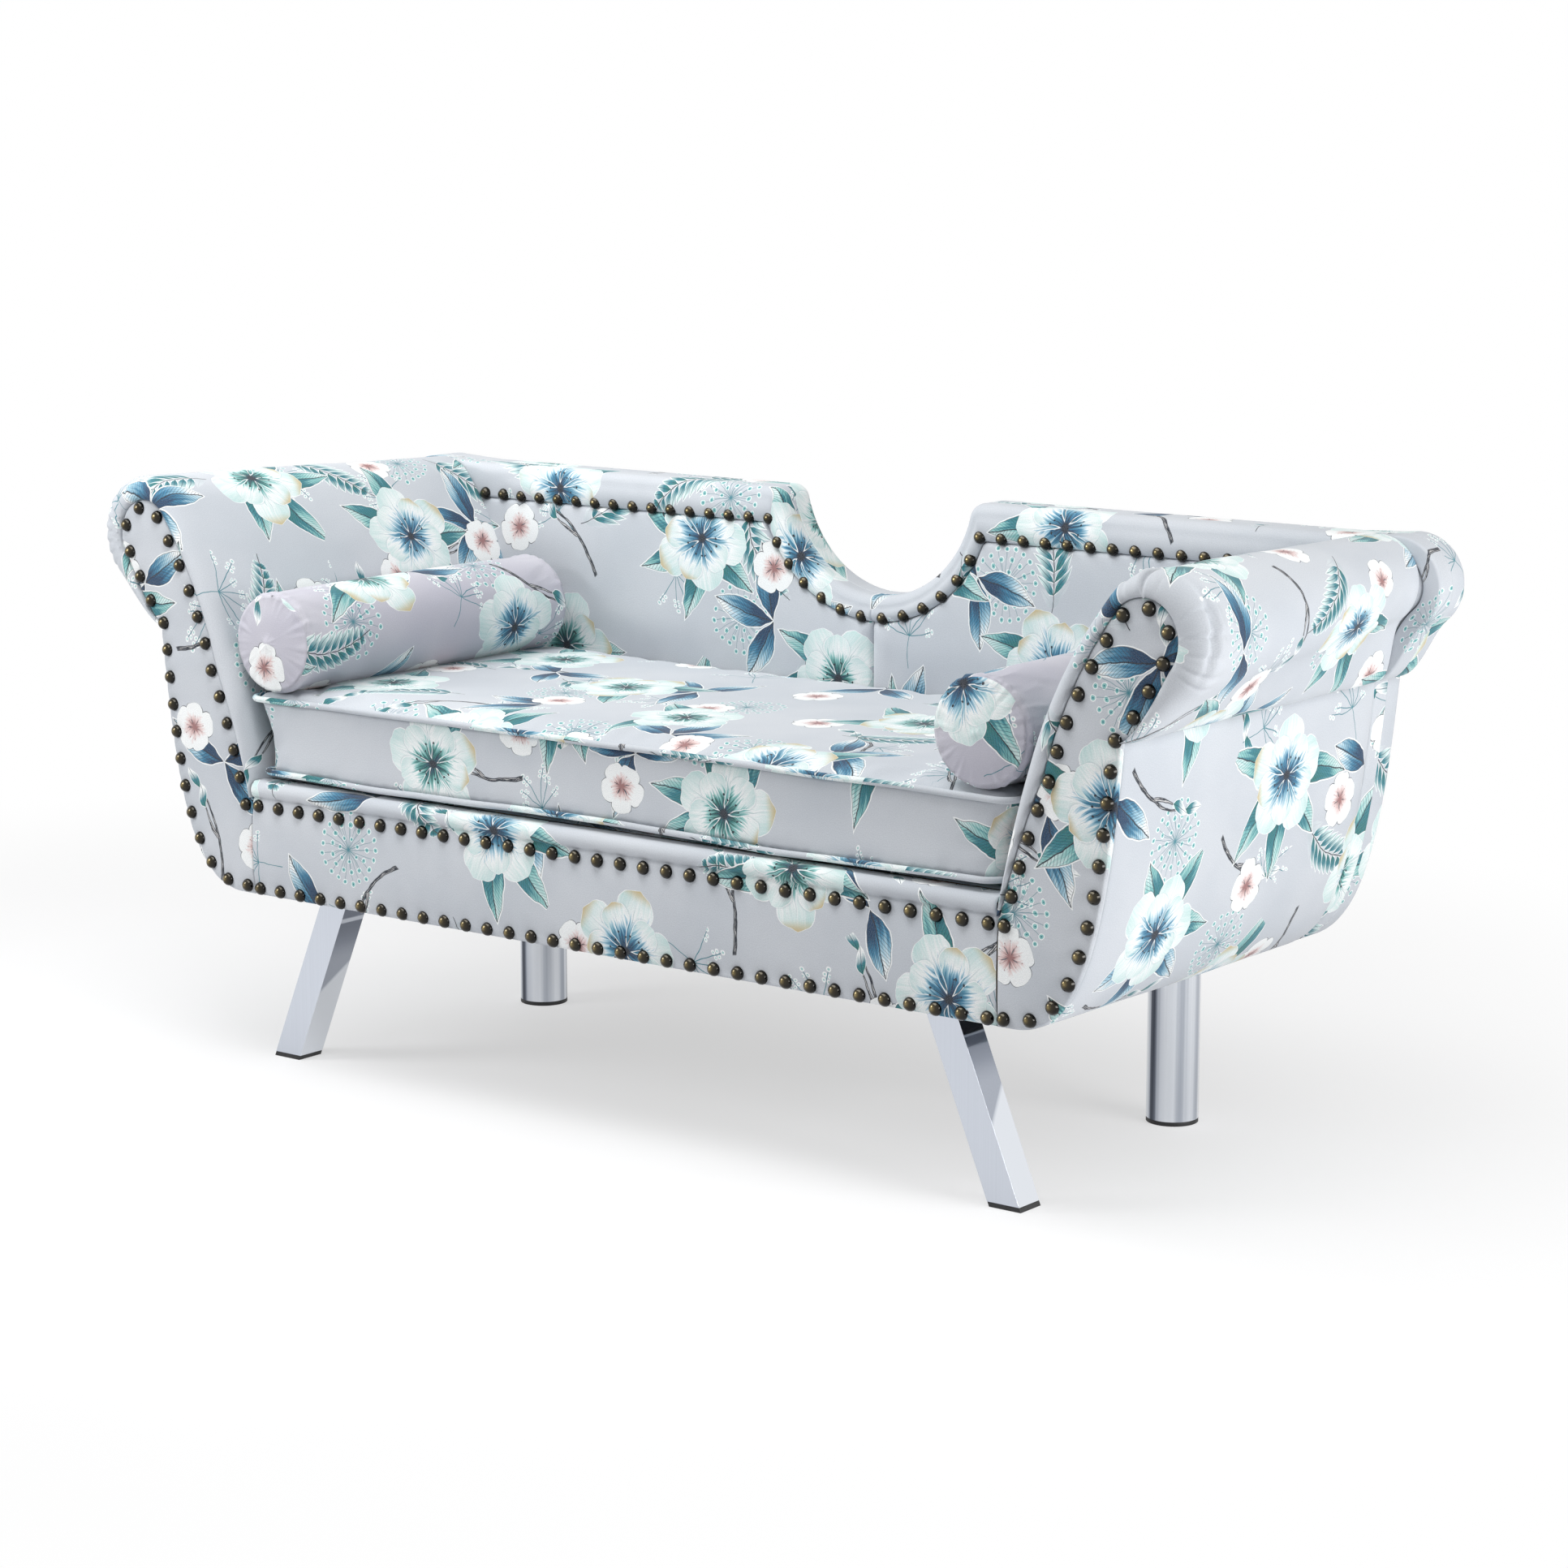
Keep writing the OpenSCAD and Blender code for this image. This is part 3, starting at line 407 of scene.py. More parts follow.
def fill_shape(outline, step, rings):
    """Points and triangles of a flat shape: rings near its edge, and a grid further in."""
    low, high = outline.min(0), outline.max(0)
    rows = np.arange(low[1], high[1], step * math.sqrt(3) / 2)
    across = np.arange(low[0], high[0], step)
    grid = np.concatenate([np.stack([across + (step / 2 if k % 2 else 0), np.full(len(across), z)], -1)
                           for k, z in enumerate(rows)])
    grid = grid[is_inside(grid, outline)]
    grid = grid[edge_distance(grid, outline) > rings[-1] + step / 2]
    loops = []
    for ring in rings:
        for sign in (1, -1):
            loop = inset(closed(outline), sign * ring)[:-1]
            loop = loop[is_inside(loop, outline)]
            loops.append(loop[edge_distance(loop, outline) > 0.9 * ring])
    points = np.concatenate([outline] + loops + [grid])
    n = len(outline)
    border = [(k, (k + 1) % n) for k in range(n)]
    made = delaunay_2d_cdt([Vector(p) for p in points], border, [], 1, 1e-4)
    return np.array([list(p) for p in made[0]]), made[2]


# Materials

BUMP_STRENGTH = 0.4
SHADER_SOCKETS = {
    "colour": "Base Color", "rough": "Roughness", "metal": "Metallic", "normal": "Normal",
    "sheen": "Sheen Weight", "sheen_rough": "Sheen Roughness", "specular": "Specular IOR Level",
    "coat": "Coat Weight", "coat_rough": "Coat Roughness"}


def linear(colour):
    """Scene colour of a screen colour written as red, green and blue from 0 to 255."""
    return tuple((c / 255 / 12.92) if c <= 10 else ((c / 255 + 0.055) / 1.055) ** 2.4 for c in colour) + (1,)


def arithmetic(operation, swapped=False):
    """Method of a shader value for one sign of arithmetic."""
    def apply(value, other):
        pair = (other, value) if swapped else (value, other)
        return value.sheet.math(operation, *pair)
    return apply


class Value:
    """A number in a shader, so that sums can be written as sums."""

    def __init__(self, sheet, socket):
        self.sheet = sheet
        self.socket = socket

    def __abs__(self):
        return self.sheet.math("ABSOLUTE", self)

    __add__ = arithmetic("ADD")
    __sub__ = arithmetic("SUBTRACT")
    __rsub__ = arithmetic("SUBTRACT", True)
    __mul__ = arithmetic("MULTIPLY")
    __truediv__ = arithmetic("DIVIDE")


class Sheet:
    """Shader nodes of a material or of the world."""

    def __init__(self, holder):
        holder.use_nodes = True
        self.holder = holder
        self.tree = holder.node_tree

    def node(self, kind, *given, **settings):
        """New node with its settings, and with values for its first sockets."""
        node = self.tree.nodes.new(kind)
        for key, value in settings.items():
            setattr(node, key, value)
        for socket, value in zip(node.inputs, given):
            self.feed(socket, value)
        return node

    def feed(self, socket, value):
        if isinstance(value, Value):
            value = value.socket
        if isinstance(value, bpy.types.NodeSocket):
            self.tree.links.new(value, socket)
        else:
            socket.default_value = value

    def named(self, node, **values):
        """Feeds a node's sockets by name, and gives its first output."""
        for name, value in values.items():
            self.feed(node.inputs[name], value)
        return node.outputs[0]

    def math(self, operation, *values):
        return Value(self, self.node("ShaderNodeMath", *values, operation=operation).outputs[0])

    def most(self, operation, *values):
        """The highest or the lowest of several values."""
        result = values[0]
        for value in values[1:]:
            result = self.math(operation, result, value)
        return result

    def vector(self, operation, *values):
        return self.node("ShaderNodeVectorMath", *values, operation=operation).outputs[0]

    def scaled(self, vector, share):
        return self.vector("MULTIPLY", vector, (share,) * 3)

    def size(self, vector):
        return Value(self, self.node("ShaderNodeVectorMath", vector, operation="LENGTH").outputs["Value"])

    def join(self, x, y, z=0):
        return self.node("ShaderNodeCombineXYZ", x, y, z).outputs[0]

    def split(self, vector):
        return [Value(self, socket) for socket in self.node("ShaderNodeSeparateXYZ", vector).outputs]

    def spin(self, vector, angle):
        node = self.node("ShaderNodeVectorRotate", rotation_type="Z_AXIS")
        return self.named(node, Vector=vector, Angle=angle)

    def step(self, value, low, high):
        """0 at low and 1 at high, smooth between them."""
        node = self.node("ShaderNodeMapRange", value, low, high, interpolation_type="SMOOTHSTEP")
        return Value(self, node.outputs[0])

    def span(self, value, low, high, to_low, to_high):
        """Straight change from one range to another."""
        return Value(self, self.node("ShaderNodeMapRange", value, low, high, to_low, to_high).outputs[0])

    def blend(self, factor, first, second):
        """Mix of two colours. A tuple is a screen colour."""
        node = self.node("ShaderNodeMix", factor, data_type="RGBA")
        for socket, colour in zip(node.inputs[6:8], (first, second)):
            self.feed(socket, linear(colour) if isinstance(colour, tuple) else colour)
        return node.outputs[2]

    def coats(self, colour, *layers):
        """Lays paints over a colour, each with how much of it shows."""
        for factor, paint in layers:
            colour = self.blend(factor, colour, paint)
        return colour

    def noise(self, vector, scale, detail, output=0):
        node = self.node("ShaderNodeTexNoise")
        self.named(node, Vector=vector, Scale=scale, Detail=detail)
        return Value(self, node.outputs[output])

    def random(self, vector):
        """Three random numbers and a fourth for each place."""
        node = self.node("ShaderNodeTexWhiteNoise", vector, noise_dimensions="3D")
        return self.split(node.outputs["Color"]) + [Value(self, node.outputs["Value"])]

    def ramp(self, value, stops):
        """Colour along a list of (place, colour)."""
        node = self.node("ShaderNodeValToRGB", value)
        ramp = node.color_ramp
        while len(ramp.elements) < len(stops):
            ramp.elements.new(0.5)
        for element, (place, colour) in zip(ramp.elements, stops):
            element.position = place
            element.color = linear(colour)
        return node.outputs[0]

    def profile(self, value, points):
        """Height along a curve through a list of (place, height), both from 0 to 1."""
        node = self.node("ShaderNodeFloatCurve")
        curve = node.mapping.curves[0]
        curve.points[0].location = points[0]
        curve.points[1].location = points[-1]
        for place, height in points[1:-1]:
            curve.points.new(place, height)
        node.mapping.update()
        return Value(self, self.named(node, Value=value))

    def place(self, name):
        return self.node("ShaderNodeTexCoord").outputs[name]

    def seen(self):
        """1 to the camera and in mirrors and glass, 0 where the surface only lights others."""
        path = self.node("ShaderNodeLightPath").outputs
        return self.most("MAXIMUM", path["Is Camera Ray"], path["Is Glossy Ray"], path["Is Transmission Ray"])

    def bump(self, height, distance):
        node = self.node("ShaderNodeBump")
        return self.named(node, Strength=BUMP_STRENGTH, Distance=distance, Height=height)

    def set(self, **values):
        for key, value in values.items():
            self.feed(self.tree.nodes["Principled BSDF"].inputs[SHADER_SOCKETS[key]], value)
        return self.holder


def new_sheet(name):
    return Sheet(bpy.data.materials.new(name))


def zinc_material():
    s = new_sheet("zinc_steel")
    at = s.place("Object")
    colour = s.blend(s.step(s.noise(at, 30, 4), 0.35, 0.65), (150, 152, 154), (186, 188, 190))
    return s.set(colour=colour, rough=s.span(s.noise(at, 90, 3), 0.3, 0.7, 0.28, 0.4375), metal=1.0)


# Painted light on the nails: tones from a painted highlight near the crown to painted shade at the rim, and
# how far the painted highlight sits off the crown
BRONZE_HIGHLIGHT_TO_SHADE = ((0.0, (146, 130, 88)), (0.2, (98, 86, 55)), (0.5, (50, 44, 29)), (1.0, (17, 15, 11)))
BRONZE_HIGHLIGHT_SHIFT = (0.9, -1.3, 0)


def bronze_material():
    """Dark bronze with a painted highlight beside the crown of each nail and painted shade towards its rim.
    """
    s = new_sheet("dark_bronze_painted_light")
    at = s.vector("MULTIPLY_ADD", s.place("UV"), (1 / MM, 1 / MM, 0), BRONZE_HIGHLIGHT_SHIFT)
    spread = s.noise(s.place("Object"), 60, 3)
    from_highlight = s.size(at) * (2 / NAIL_D) + (spread - 0.5) * 0.5
    return s.set(colour=s.ramp(from_highlight, BRONZE_HIGHLIGHT_TO_SHADE), rough=s.span(spread, 0.3, 0.7, 0.17, 0.26), metal=1.0,
                 coat=0.5, coat_rough=0.06)


# Polished legs: tones of the painted reflection bands, and where painted reflections make the outer flat
# faces darker or brighter
CHROME_REFLECTION_TONES = ((0.28, (74, 79, 90)), (0.4, (142, 148, 160)), (0.5, (202, 207, 216)),
                (0.64, (226, 230, 236)), (0.8, (168, 174, 185)))
LEG_IN = 37
LEG_W = 38
LEG_Y0 = (FRONT_Y + LEG_IN) * MM
LEG_Y1 = (FRONT_Y + LEG_IN + LEG_W) * MM
DARK_REFLECTION_SLANT = 0.9
DARK_REFLECTION_Z = 85 * MM
PAINTED_HIGHLIGHT_Z = 178 * MM
PAINTED_HIGHLIGHT_H = 8 * MM


def chrome_material():
    """Polished tube with painted reflections: bands that follow the facing and, on the outer flat faces, a
    painted dark reflection above a slanted line that darkens towards the top, with a painted highlight line
    near the top.
    """
    s = new_sheet("chrome")
    x, y, _ = s.split(s.place("Normal"))
    at_x, at_y, at_z = s.split(s.place("Object"))
    # Painted reflection: light and dark bands laid out by which way the surface faces
    reflection_bands = s.noise(s.join(x * 1.5, y * 1.5, 0.4), 1.35, 0)
    lines = s.noise(s.join(at_x, at_y), 1300, 1)
    flat_side = s.step(x, 0.72, 0.93) * s.step(at_y, LEG_Y1 + 20 * MM, LEG_Y1)
    # Painted dark reflection above a slanted line on the outer flat faces, and a painted highlight line near
    # their top
    dark_reflection = s.step(at_z - (at_y - LEG_Y0) * DARK_REFLECTION_SLANT, DARK_REFLECTION_Z, DARK_REFLECTION_Z + 9 * MM)
    painted_highlight = s.step(at_z, PAINTED_HIGHLIGHT_Z, PAINTED_HIGHLIGHT_Z + 2 * MM)
    painted_highlight = painted_highlight * s.step(at_z, PAINTED_HIGHLIGHT_Z + PAINTED_HIGHLIGHT_H, PAINTED_HIGHLIGHT_Z + PAINTED_HIGHLIGHT_H - 3 * MM)
    # Tone of the painted reflection on the outer flat faces: darker above the slant and towards the top,
    # lighter on the highlight line
    side_reflection = 0.64 - dark_reflection * 0.2 - s.step(at_z, PAINTED_HIGHLIGHT_Z - 50 * MM, PAINTED_HIGHLIGHT_Z) * 0.08 + painted_highlight * 0.15
    tone = reflection_bands + (side_reflection - reflection_bands) * flat_side + (lines - 0.5) * 0.02
    return s.set(colour=s.ramp(tone, CHROME_REFLECTION_TONES), rough=s.span(lines, 0.3, 0.7, 0.05, 0.08), metal=1.0)


def matt_material(name, dark, light, scale, rough):
    s = new_sheet(name)
    tone = s.noise(s.place("Object"), scale, 4)
    colour = s.blend(s.step(tone, 0.3, 0.7), dark, light)
    return s.set(colour=colour, rough=rough, normal=s.bump(tone, 0.0004))


# Printed design: loose layers of generic blossoms, leaves and sprigs, with sizes in millimetres

GROUND = (207, 211, 216)
GROUND_SHADE = (199, 204, 210)
BOLSTER_GROUND = (204, 202, 210)
BOLSTER_GROUND_SHADE = (194, 192, 203)
GRAIN = (146, 152, 162)
WHITE = (250, 252, 251)
PALE_MINT = (216, 236, 233)
MINT = (140, 200, 196)
TEAL = (42, 126, 138)
DEEP_TEAL = (14, 66, 84)
BLUE = (54, 128, 162)
DEEP_BLUE = (14, 58, 92)
PALE_BLUE = (168, 206, 222)
SEA_GREEN = (34, 114, 104)
INK = (28, 31, 38)
PALE_GREY = (214, 212, 210)
BLUSH = (232, 204, 200)
ROSE = (160, 112, 108)
MUSTARD = (203, 172, 96)
HAND_WAVE = 26
HAND_SWAY = 3.5
WASH_WAVE = 140
GRAIN_SCALE = 0.85
GRAIN_DEPTH = 0.3
NAP_SCALE = 0.6
NAP_HEIGHT = 0.0006
FULL_TURN = 2 * math.pi
EDGE_SOFT = 0.5

# Half widths of petals and leaves: place along them, share of the full width
BROAD_PETAL = ((0, 0.2), (0.2, 0.34), (0.45, 0.72), (0.68, 1), (0.84, 0.84), (0.94, 0.42), (1, 0))
ROUND_PETAL = ((0, 0.12), (0.2, 0.3), (0.45, 0.78), (0.7, 1), (0.88, 0.86), (0.96, 0.5), (1, 0))
LONG_LEAF = ((0, 0), (0.1, 0.3), (0.3, 0.85), (0.5, 1), (0.7, 0.82), (0.9, 0.3), (1, 0))
FROND = ((0, 0.3), (0.15, 0.75), (0.4, 1), (0.75, 0.8), (1, 0.15))

# Paints from the foot of a petal or leaf to its tip
BLUE_PETAL = ((0.05, DEEP_BLUE), (0.28, BLUE), (0.43, PALE_BLUE), (0.56, WHITE), (0.98, PALE_MINT))
GREEN_PETAL = ((0.02, DEEP_TEAL), (0.2, SEA_GREEN), (0.36, MINT), (0.5, WHITE), (0.95, PALE_MINT))
BLUE_LEAF = ((0.25, DEEP_BLUE), (0.5, BLUE), (0.72, PALE_BLUE), (0.95, WHITE))
GREEN_LEAF = ((0.3, SEA_GREEN), (0.6, TEAL), (0.75, MINT), (1.0, PALE_MINT))
ROSE_PETAL = ((0.1, ROSE), (0.3, BLUSH), (0.55, WHITE))
FROND_LEAF = ((0.1, SEA_GREEN), (0.5, TEAL), (0.95, PALE_MINT))
BUD = ((0.1, SEA_GREEN), (0.4, TEAL), (0.75, WHITE))


class Spot:
    """Place about the middle of the nearest motif, and that motif's random numbers."""

    def __init__(self, s, at, cell, turn, seed, jitter):
        x, y, _ = s.split(s.scaled(s.spin(at, math.radians(turn)), 1 / cell))
        row = s.math("FLOOR", y)
        x = x + s.math("PINGPONG", row, 1) * 0.5
        column = s.math("FLOOR", x)
        self.luck = s.random(s.join(column, row, seed))
        x = (x - column - 0.5 - (self.luck[0] - 0.5) * jitter) * cell
        y = (y - row - 0.5 - (self.luck[1] - 0.5) * jitter) * cell
        self.x, self.y, _ = s.split(s.spin(s.join(x, y), self.luck[2] * FULL_TURN))


def size_of(s, x, y):
    return s.math("SQRT", s.math("MULTIPLY_ADD", x, x, y * y))


class Petal:
    """One petal or stalk that stands for a whole ring: place along and across, and depth inside its edge."""

    def __init__(self, s, spot, count, length, vary, shape=None, half_w=0, spin=0.0, bend=0.0):
        radius = size_of(s, spot.x, spot.y)
        turn = s.math("MULTIPLY_ADD", s.math("ARCTAN2", spot.y, spot.x), count / FULL_TURN, spin)
        number = s.math("ROUND", turn)
        lean = (turn - number) * (FULL_TURN / count)
        ring_place = s.math("FLOORED_MODULO", number, count)
        self.mark = s.random(s.join(ring_place, spot.luck[0] * 91, spot.luck[1] * 57))
        self.along = radius * s.math("COSINE", lean)
        self.across = radius * s.math("SINE", lean)
        if bend:
            self.across = self.across - self.along * self.along * ((self.mark[1] - 0.5) * bend)
        self.t = self.along / s.math("MULTIPLY_ADD", self.mark[0], length * vary, length * (1 - vary))
        self.off = abs(self.across)
        if shape:
            self.edge = s.profile(self.t, shape) * half_w - self.off - 0.6


def shown(s, edge):
    return s.step(edge, -EDGE_SOFT, EDGE_SOFT)


def line_at(s, distance, half_w):
    """1 on a line of this half width, 0 beside it."""
    return s.step(distance, half_w + 0.35, half_w - 0.35)


def streaks(s, petal, fine, seed, strength):
    """Brush strokes that run along a petal, lighter and darker by half their strength."""
    brush = s.noise(s.join(petal.along * 0.03, petal.across * fine, petal.mark[2] * 40 + seed), 1, 2)
    return (brush - 0.5) * strength


def threads(s, spot, count, length, tip_reach, line_w, tip_w, bend=0.0):
    """Fine threads about a blossom's heart, each with a dot at its tip."""
    thread = Petal(s, spot, count, length, 0.4, bend=bend)
    line = line_at(s, thread.off, line_w) * s.step(thread.t, 1.0, 0.9)
    tip = size_of(s, (thread.t - 1) * tip_reach, thread.off)
    return s.math("MAXIMUM", line, line_at(s, tip, tip_w))


def big_blossom(s, under, spot, keep, radius, count):
    """Blossom with broad petals, dark at the heart and white at the tips, over a second ring of petals."""
    back = Petal(s, spot, count, radius, 0.14, BROAD_PETAL, radius * 0.36, spin=0.5)
    front = Petal(s, spot, count, radius * 0.78, 0.16, BROAD_PETAL, radius * 0.27)
    colour = under
    for petal, lift in ((back, 0.0), (front, 0.16)):
        tone = petal.t + streaks(s, petal, 0.4, 3, 0.85) - lift * 0.4
        green = s.math("LESS_THAN", spot.luck[1], 0.4)
        paint = s.blend(green, s.ramp(tone, BLUE_PETAL), s.ramp(tone, GREEN_PETAL))
        paint = s.coats(
            paint, (s.step(petal.across, 0, radius * 0.24) * 0.3, MINT),
            (s.step(petal.t, 0.78, 1.0) * s.step(petal.mark[0], 0.78, 0.8) * 0.8, MUSTARD),
            (line_at(s, petal.off, 0.3) * s.step(petal.t, 0.95, 0.5) * 0.55, TEAL),
            (s.step(petal.edge, 1.5, 0.7), WHITE))
        if lift:
            colour = s.blend(s.step(petal.edge, -3.0, 1.0) * keep * 0.3, colour, TEAL)
        colour = s.blend(shown(s, petal.edge) * keep, colour, paint)
    heart = s.step(size_of(s, spot.x, spot.y), radius * 0.1, radius * 0.05)
    inked = threads(s, spot, 15, radius * 0.36, radius * 0.3, 0.35, 1.5, bend=0.02)
    return s.blend(s.math("MAXIMUM", inked, heart) * keep, colour, INK)


def leaves(s, under, spot, keep, length, count, half_w, spin, green):
    """Long veined leaves round a motif's middle. Some places are left empty."""
    leaf = Petal(s, spot, count, length, 0.25, LONG_LEAF, half_w, spin=spin, bend=0.006)
    here = s.math("LESS_THAN", leaf.mark[2], 0.5) * keep
    tone = leaf.t + streaks(s, leaf, 0.35, 9, 0.6) + s.step(leaf.across, -1, 1) * 0.22 - 0.1
    lean = s.math("FRACT", (leaf.along - leaf.off * 1.25) * 0.19)
    vein = s.step(abs(lean - 0.5), 0.12, 0.04) * s.step(leaf.edge, 0.2, 1.6)
    paint = s.coats(s.ramp(tone, GREEN_LEAF if green else BLUE_LEAF),
                    (vein * 0.75, DEEP_TEAL if green else INK),
                    (line_at(s, leaf.off, 0.7), INK), (s.step(leaf.edge, 0.9, 0.2), INK))
    halo = s.step(leaf.edge, -1.9, -1.1) * here * s.step(leaf.t, 1.03, 1.0)
    return s.coats(under, (halo, WHITE), (shown(s, leaf.edge) * here, paint))


def small_blossom(s, under, spot, keep, radius):
    """Small open blossom with blush at its heart and an inked outline."""
    petal = Petal(s, spot, 5, radius, 0.12, ROUND_PETAL, radius * 0.48)
    paint = s.ramp(petal.t + streaks(s, petal, 0.6, 5, 0.5), ROSE_PETAL)
    paint = s.blend(s.step(petal.edge, 0.7, 0.1), paint, INK)
    colour = s.blend(shown(s, petal.edge + 0.4) * keep, under, paint)
    inked = threads(s, spot, 11, radius * 0.5, radius * 0.4, 0.2, 0.7)
    return s.blend(inked * keep * 0.85, colour, ROSE)


def umbel(s, under, spot, keep, radius):
    """Round head of fine stalks with pale florets on three rings."""
    colour = under
    for count, reach, floret in ((7, 0.36, 3.4), (13, 0.68, 3.8), (21, 1.0, 3.6)):
        stalk = Petal(s, spot, count, radius * reach, 0.12, spin=reach)
        line = line_at(s, stalk.off, 0.3) * s.step(stalk.t, 1.0, 0.97)
        colour = s.blend(line * keep * 0.8, colour, TEAL)
        tip = size_of(s, (stalk.t - 1) * (radius * reach), stalk.off)
        dots = ((floret, WHITE), (floret - 1.0, MINT), (1.0, TEAL))
        colour = s.coats(colour, *((line_at(s, tip, dot) * keep, paint) for dot, paint in dots))
    return colour


def sprig(s, under, spot, keep, reach):
    """Fan of fine stems with small pale flowers."""
    stem = Petal(s, spot, 13, reach, 0.5, bend=0.012)
    fan = s.step(spot.x, -0.5, 0.5) * keep
    line = line_at(s, stem.off, 0.5) * s.step(stem.t, 1.0, 0.98)
    stalk_run = s.step(spot.x, -0.7 * reach, -0.7 * reach + 1) * s.step(spot.x, 1, 0)
    stalk = line_at(s, abs(spot.y), 0.45) * stalk_run
    colour = s.blend(s.math("MAXIMUM", line * fan, stalk * keep), under, TEAL)
    back = (stem.t - 1) * reach
    tip = size_of(s, back, stem.off)
    beside = size_of(s, back + 8, stem.off - 3.6)
    lower = size_of(s, back + 15, stem.off - 3.4)
    flower = s.most("MINIMUM", tip - 0.4, beside, lower)
    return s.coats(colour, (line_at(s, flower, 2.9) * fan, WHITE),
                   (line_at(s, flower, 1.2) * fan * 0.8, MINT))


def frond(s, under, spot, keep, reach):
    """Feathered leaf: paired leaflets along a curved rib."""
    x = spot.x
    y = spot.y - x * x * 0.0035
    off = abs(y)
    pitch, lean = 12.5, math.radians(42)
    foot = x - off * (1 / math.tan(lean))
    nearest = s.math("ROUND", foot * (1 / pitch)) * pitch
    dx = x - nearest
    along = dx * math.cos(lean) + off * math.sin(lean)
    across = abs(off * math.cos(lean) - dx * math.sin(lean))
    t = along / (s.profile(s.span(x, -reach, reach, 0, 1), FROND) * (reach * 0.62))
    edge = s.profile(t, LONG_LEAF) * 4.6 - across - 0.3
    inside = s.step(abs(nearest), reach + 1, reach - 1) * keep
    paint = s.ramp(t + s.step(y, -0.5, 0.5) * 0.2, FROND_LEAF)
    paint = s.blend(line_at(s, across, 0.3), paint, DEEP_TEAL)
    rib = line_at(s, off, 0.6) * s.step(abs(x), reach + 8, reach + 6)
    return s.coats(under, (s.step(edge, -1.3, -0.7) * inside, WHITE), (shown(s, edge) * inside, paint),
                   (rib * keep, INK))


def twig(s, under, spot, keep, reach):
    """Curved dark twig with a side shoot and two closed buds."""
    colour = under
    for bend, lean, length, start in ((0.0038, 0.0, 1.0, -0.9), (-0.006, 0.55, 0.62, 0.0)):
        x = spot.x * math.cos(lean) + spot.y * math.sin(lean)
        y = spot.y * math.cos(lean) - spot.x * math.sin(lean) - x * x * bend
        off = abs(y)
        foot, end = start * reach, reach * length
        held = s.step(x, foot, foot + 2) * s.step(x, end + 1, end - 1) * keep
        edge = s.span(x, foot, end, 2.9, 1.0) - off
        grain = s.noise(s.join(x * 0.07, y * 1.1, lean), 1, 2)
        colour = s.coats(colour, (shown(s, edge) * held, INK),
                         (s.step(edge, 0.7, 1.1) * s.step(grain, 0.54, 0.6) * held, PALE_GREY))
        bud_x = x - (end + 9)
        bud_t = s.span(bud_x, -12, 15, 0, 1)
        bud = s.profile(bud_t, LONG_LEAF) * 7.5 - off - 0.3
        brush = s.noise(s.join(bud_x * 0.1, y * 0.5, bend), 1, 2)
        paint = s.ramp(bud_t + (brush - 0.5) * 0.5, BUD)
        paint = s.blend(line_at(s, off, 0.35), paint, DEEP_TEAL)
        near = s.step(abs(bud_x - 1.5), 14, 13) * keep
        colour = s.coats(colour, (s.step(bud, -1.2, -0.5) * near, WHITE), (shown(s, bud) * near, paint))
    return colour


# Layers from the lowest up: spacing, turn, seed, jitter, share of places filled, then motifs and sizes
LAYERS = (
    (186, 17, 1, 0.3, 0.8, (sprig, 58)),
    (236, 52, 2, 0.4, 0.72, (umbel, 44)),
    (205, -31, 3, 0.3, 0.62, (twig, 66)),
    (225, 71, 4, 0.35, 0.6, (frond, 62)),
    (214, -57, 7, 0.25, 0.78, (leaves, 104, 5, 17, 0.2, False)),
    (168, -12, 6, 0.4, 0.5, (small_blossom, 33)),
    (246, 33, 5, 0.16, 0.93, (leaves, 130, 7, 18, 0.3, True), (big_blossom, 76, 5)))


def printed_cloth(name, ground, ground_shade):
    """Soft printed velvet. The print is worked out from print coordinates."""
    s = new_sheet(name)
    flat = s.vector("MULTIPLY", s.place("UV"), (1 / MM, 1 / MM, 0))
    sway = s.noise(s.scaled(flat, 1 / HAND_WAVE), 1, 2, "Color")
    moved = s.vector("MULTIPLY_ADD", sway, (2 * HAND_SWAY, 2 * HAND_SWAY, 0), flat)
    wash = s.noise(s.scaled(flat, 1 / WASH_WAVE), 1, 3)
    colour = s.blend(s.step(wash, 0.35, 0.65), ground, ground_shade)
    for cell, turn, seed, jitter, share, *motifs in LAYERS:
        spot = Spot(s, moved, cell, turn, seed, jitter)
        keep = s.math("LESS_THAN", spot.luck[3], share)
        for motif, *sizes in motifs:
            colour = motif(s, colour, spot, keep, *sizes)
    grain = s.noise(s.scaled(flat, GRAIN_SCALE), 1, 3)
    colour = s.blend(s.span(grain, 0.3, 0.72, 0, GRAIN_DEPTH), colour, GRAIN)
    nap = s.noise(s.scaled(flat, NAP_SCALE), 1, 3)
    return s.set(colour=colour, rough=0.9, sheen=0.2, sheen_rough=0.45, specular=0.15,
                 normal=s.bump(nap, NAP_HEIGHT))


PRINT = printed_cloth("print_cloth", GROUND, GROUND_SHADE)
BOLSTER_PRINT = printed_cloth("bolster_cloth", BOLSTER_GROUND, BOLSTER_GROUND_SHADE)
BRONZE = bronze_material()
CHROME = chrome_material()
PLASTIC = matt_material("black_plastic", (18, 18, 19), (30, 30, 32), 300, 0.5)
TIMBER = matt_material("sawn_timber", (176, 140, 98), (206, 172, 128), 20, 0.8)
ZINC = zinc_material()
DUST_CLOTH = matt_material("dust_cloth", (36, 36, 38), (52, 52, 55), 400, 0.95)
ZIP_PLASTIC = matt_material("zip_plastic", (120, 128, 140), (140, 148, 160), 500, 0.6)


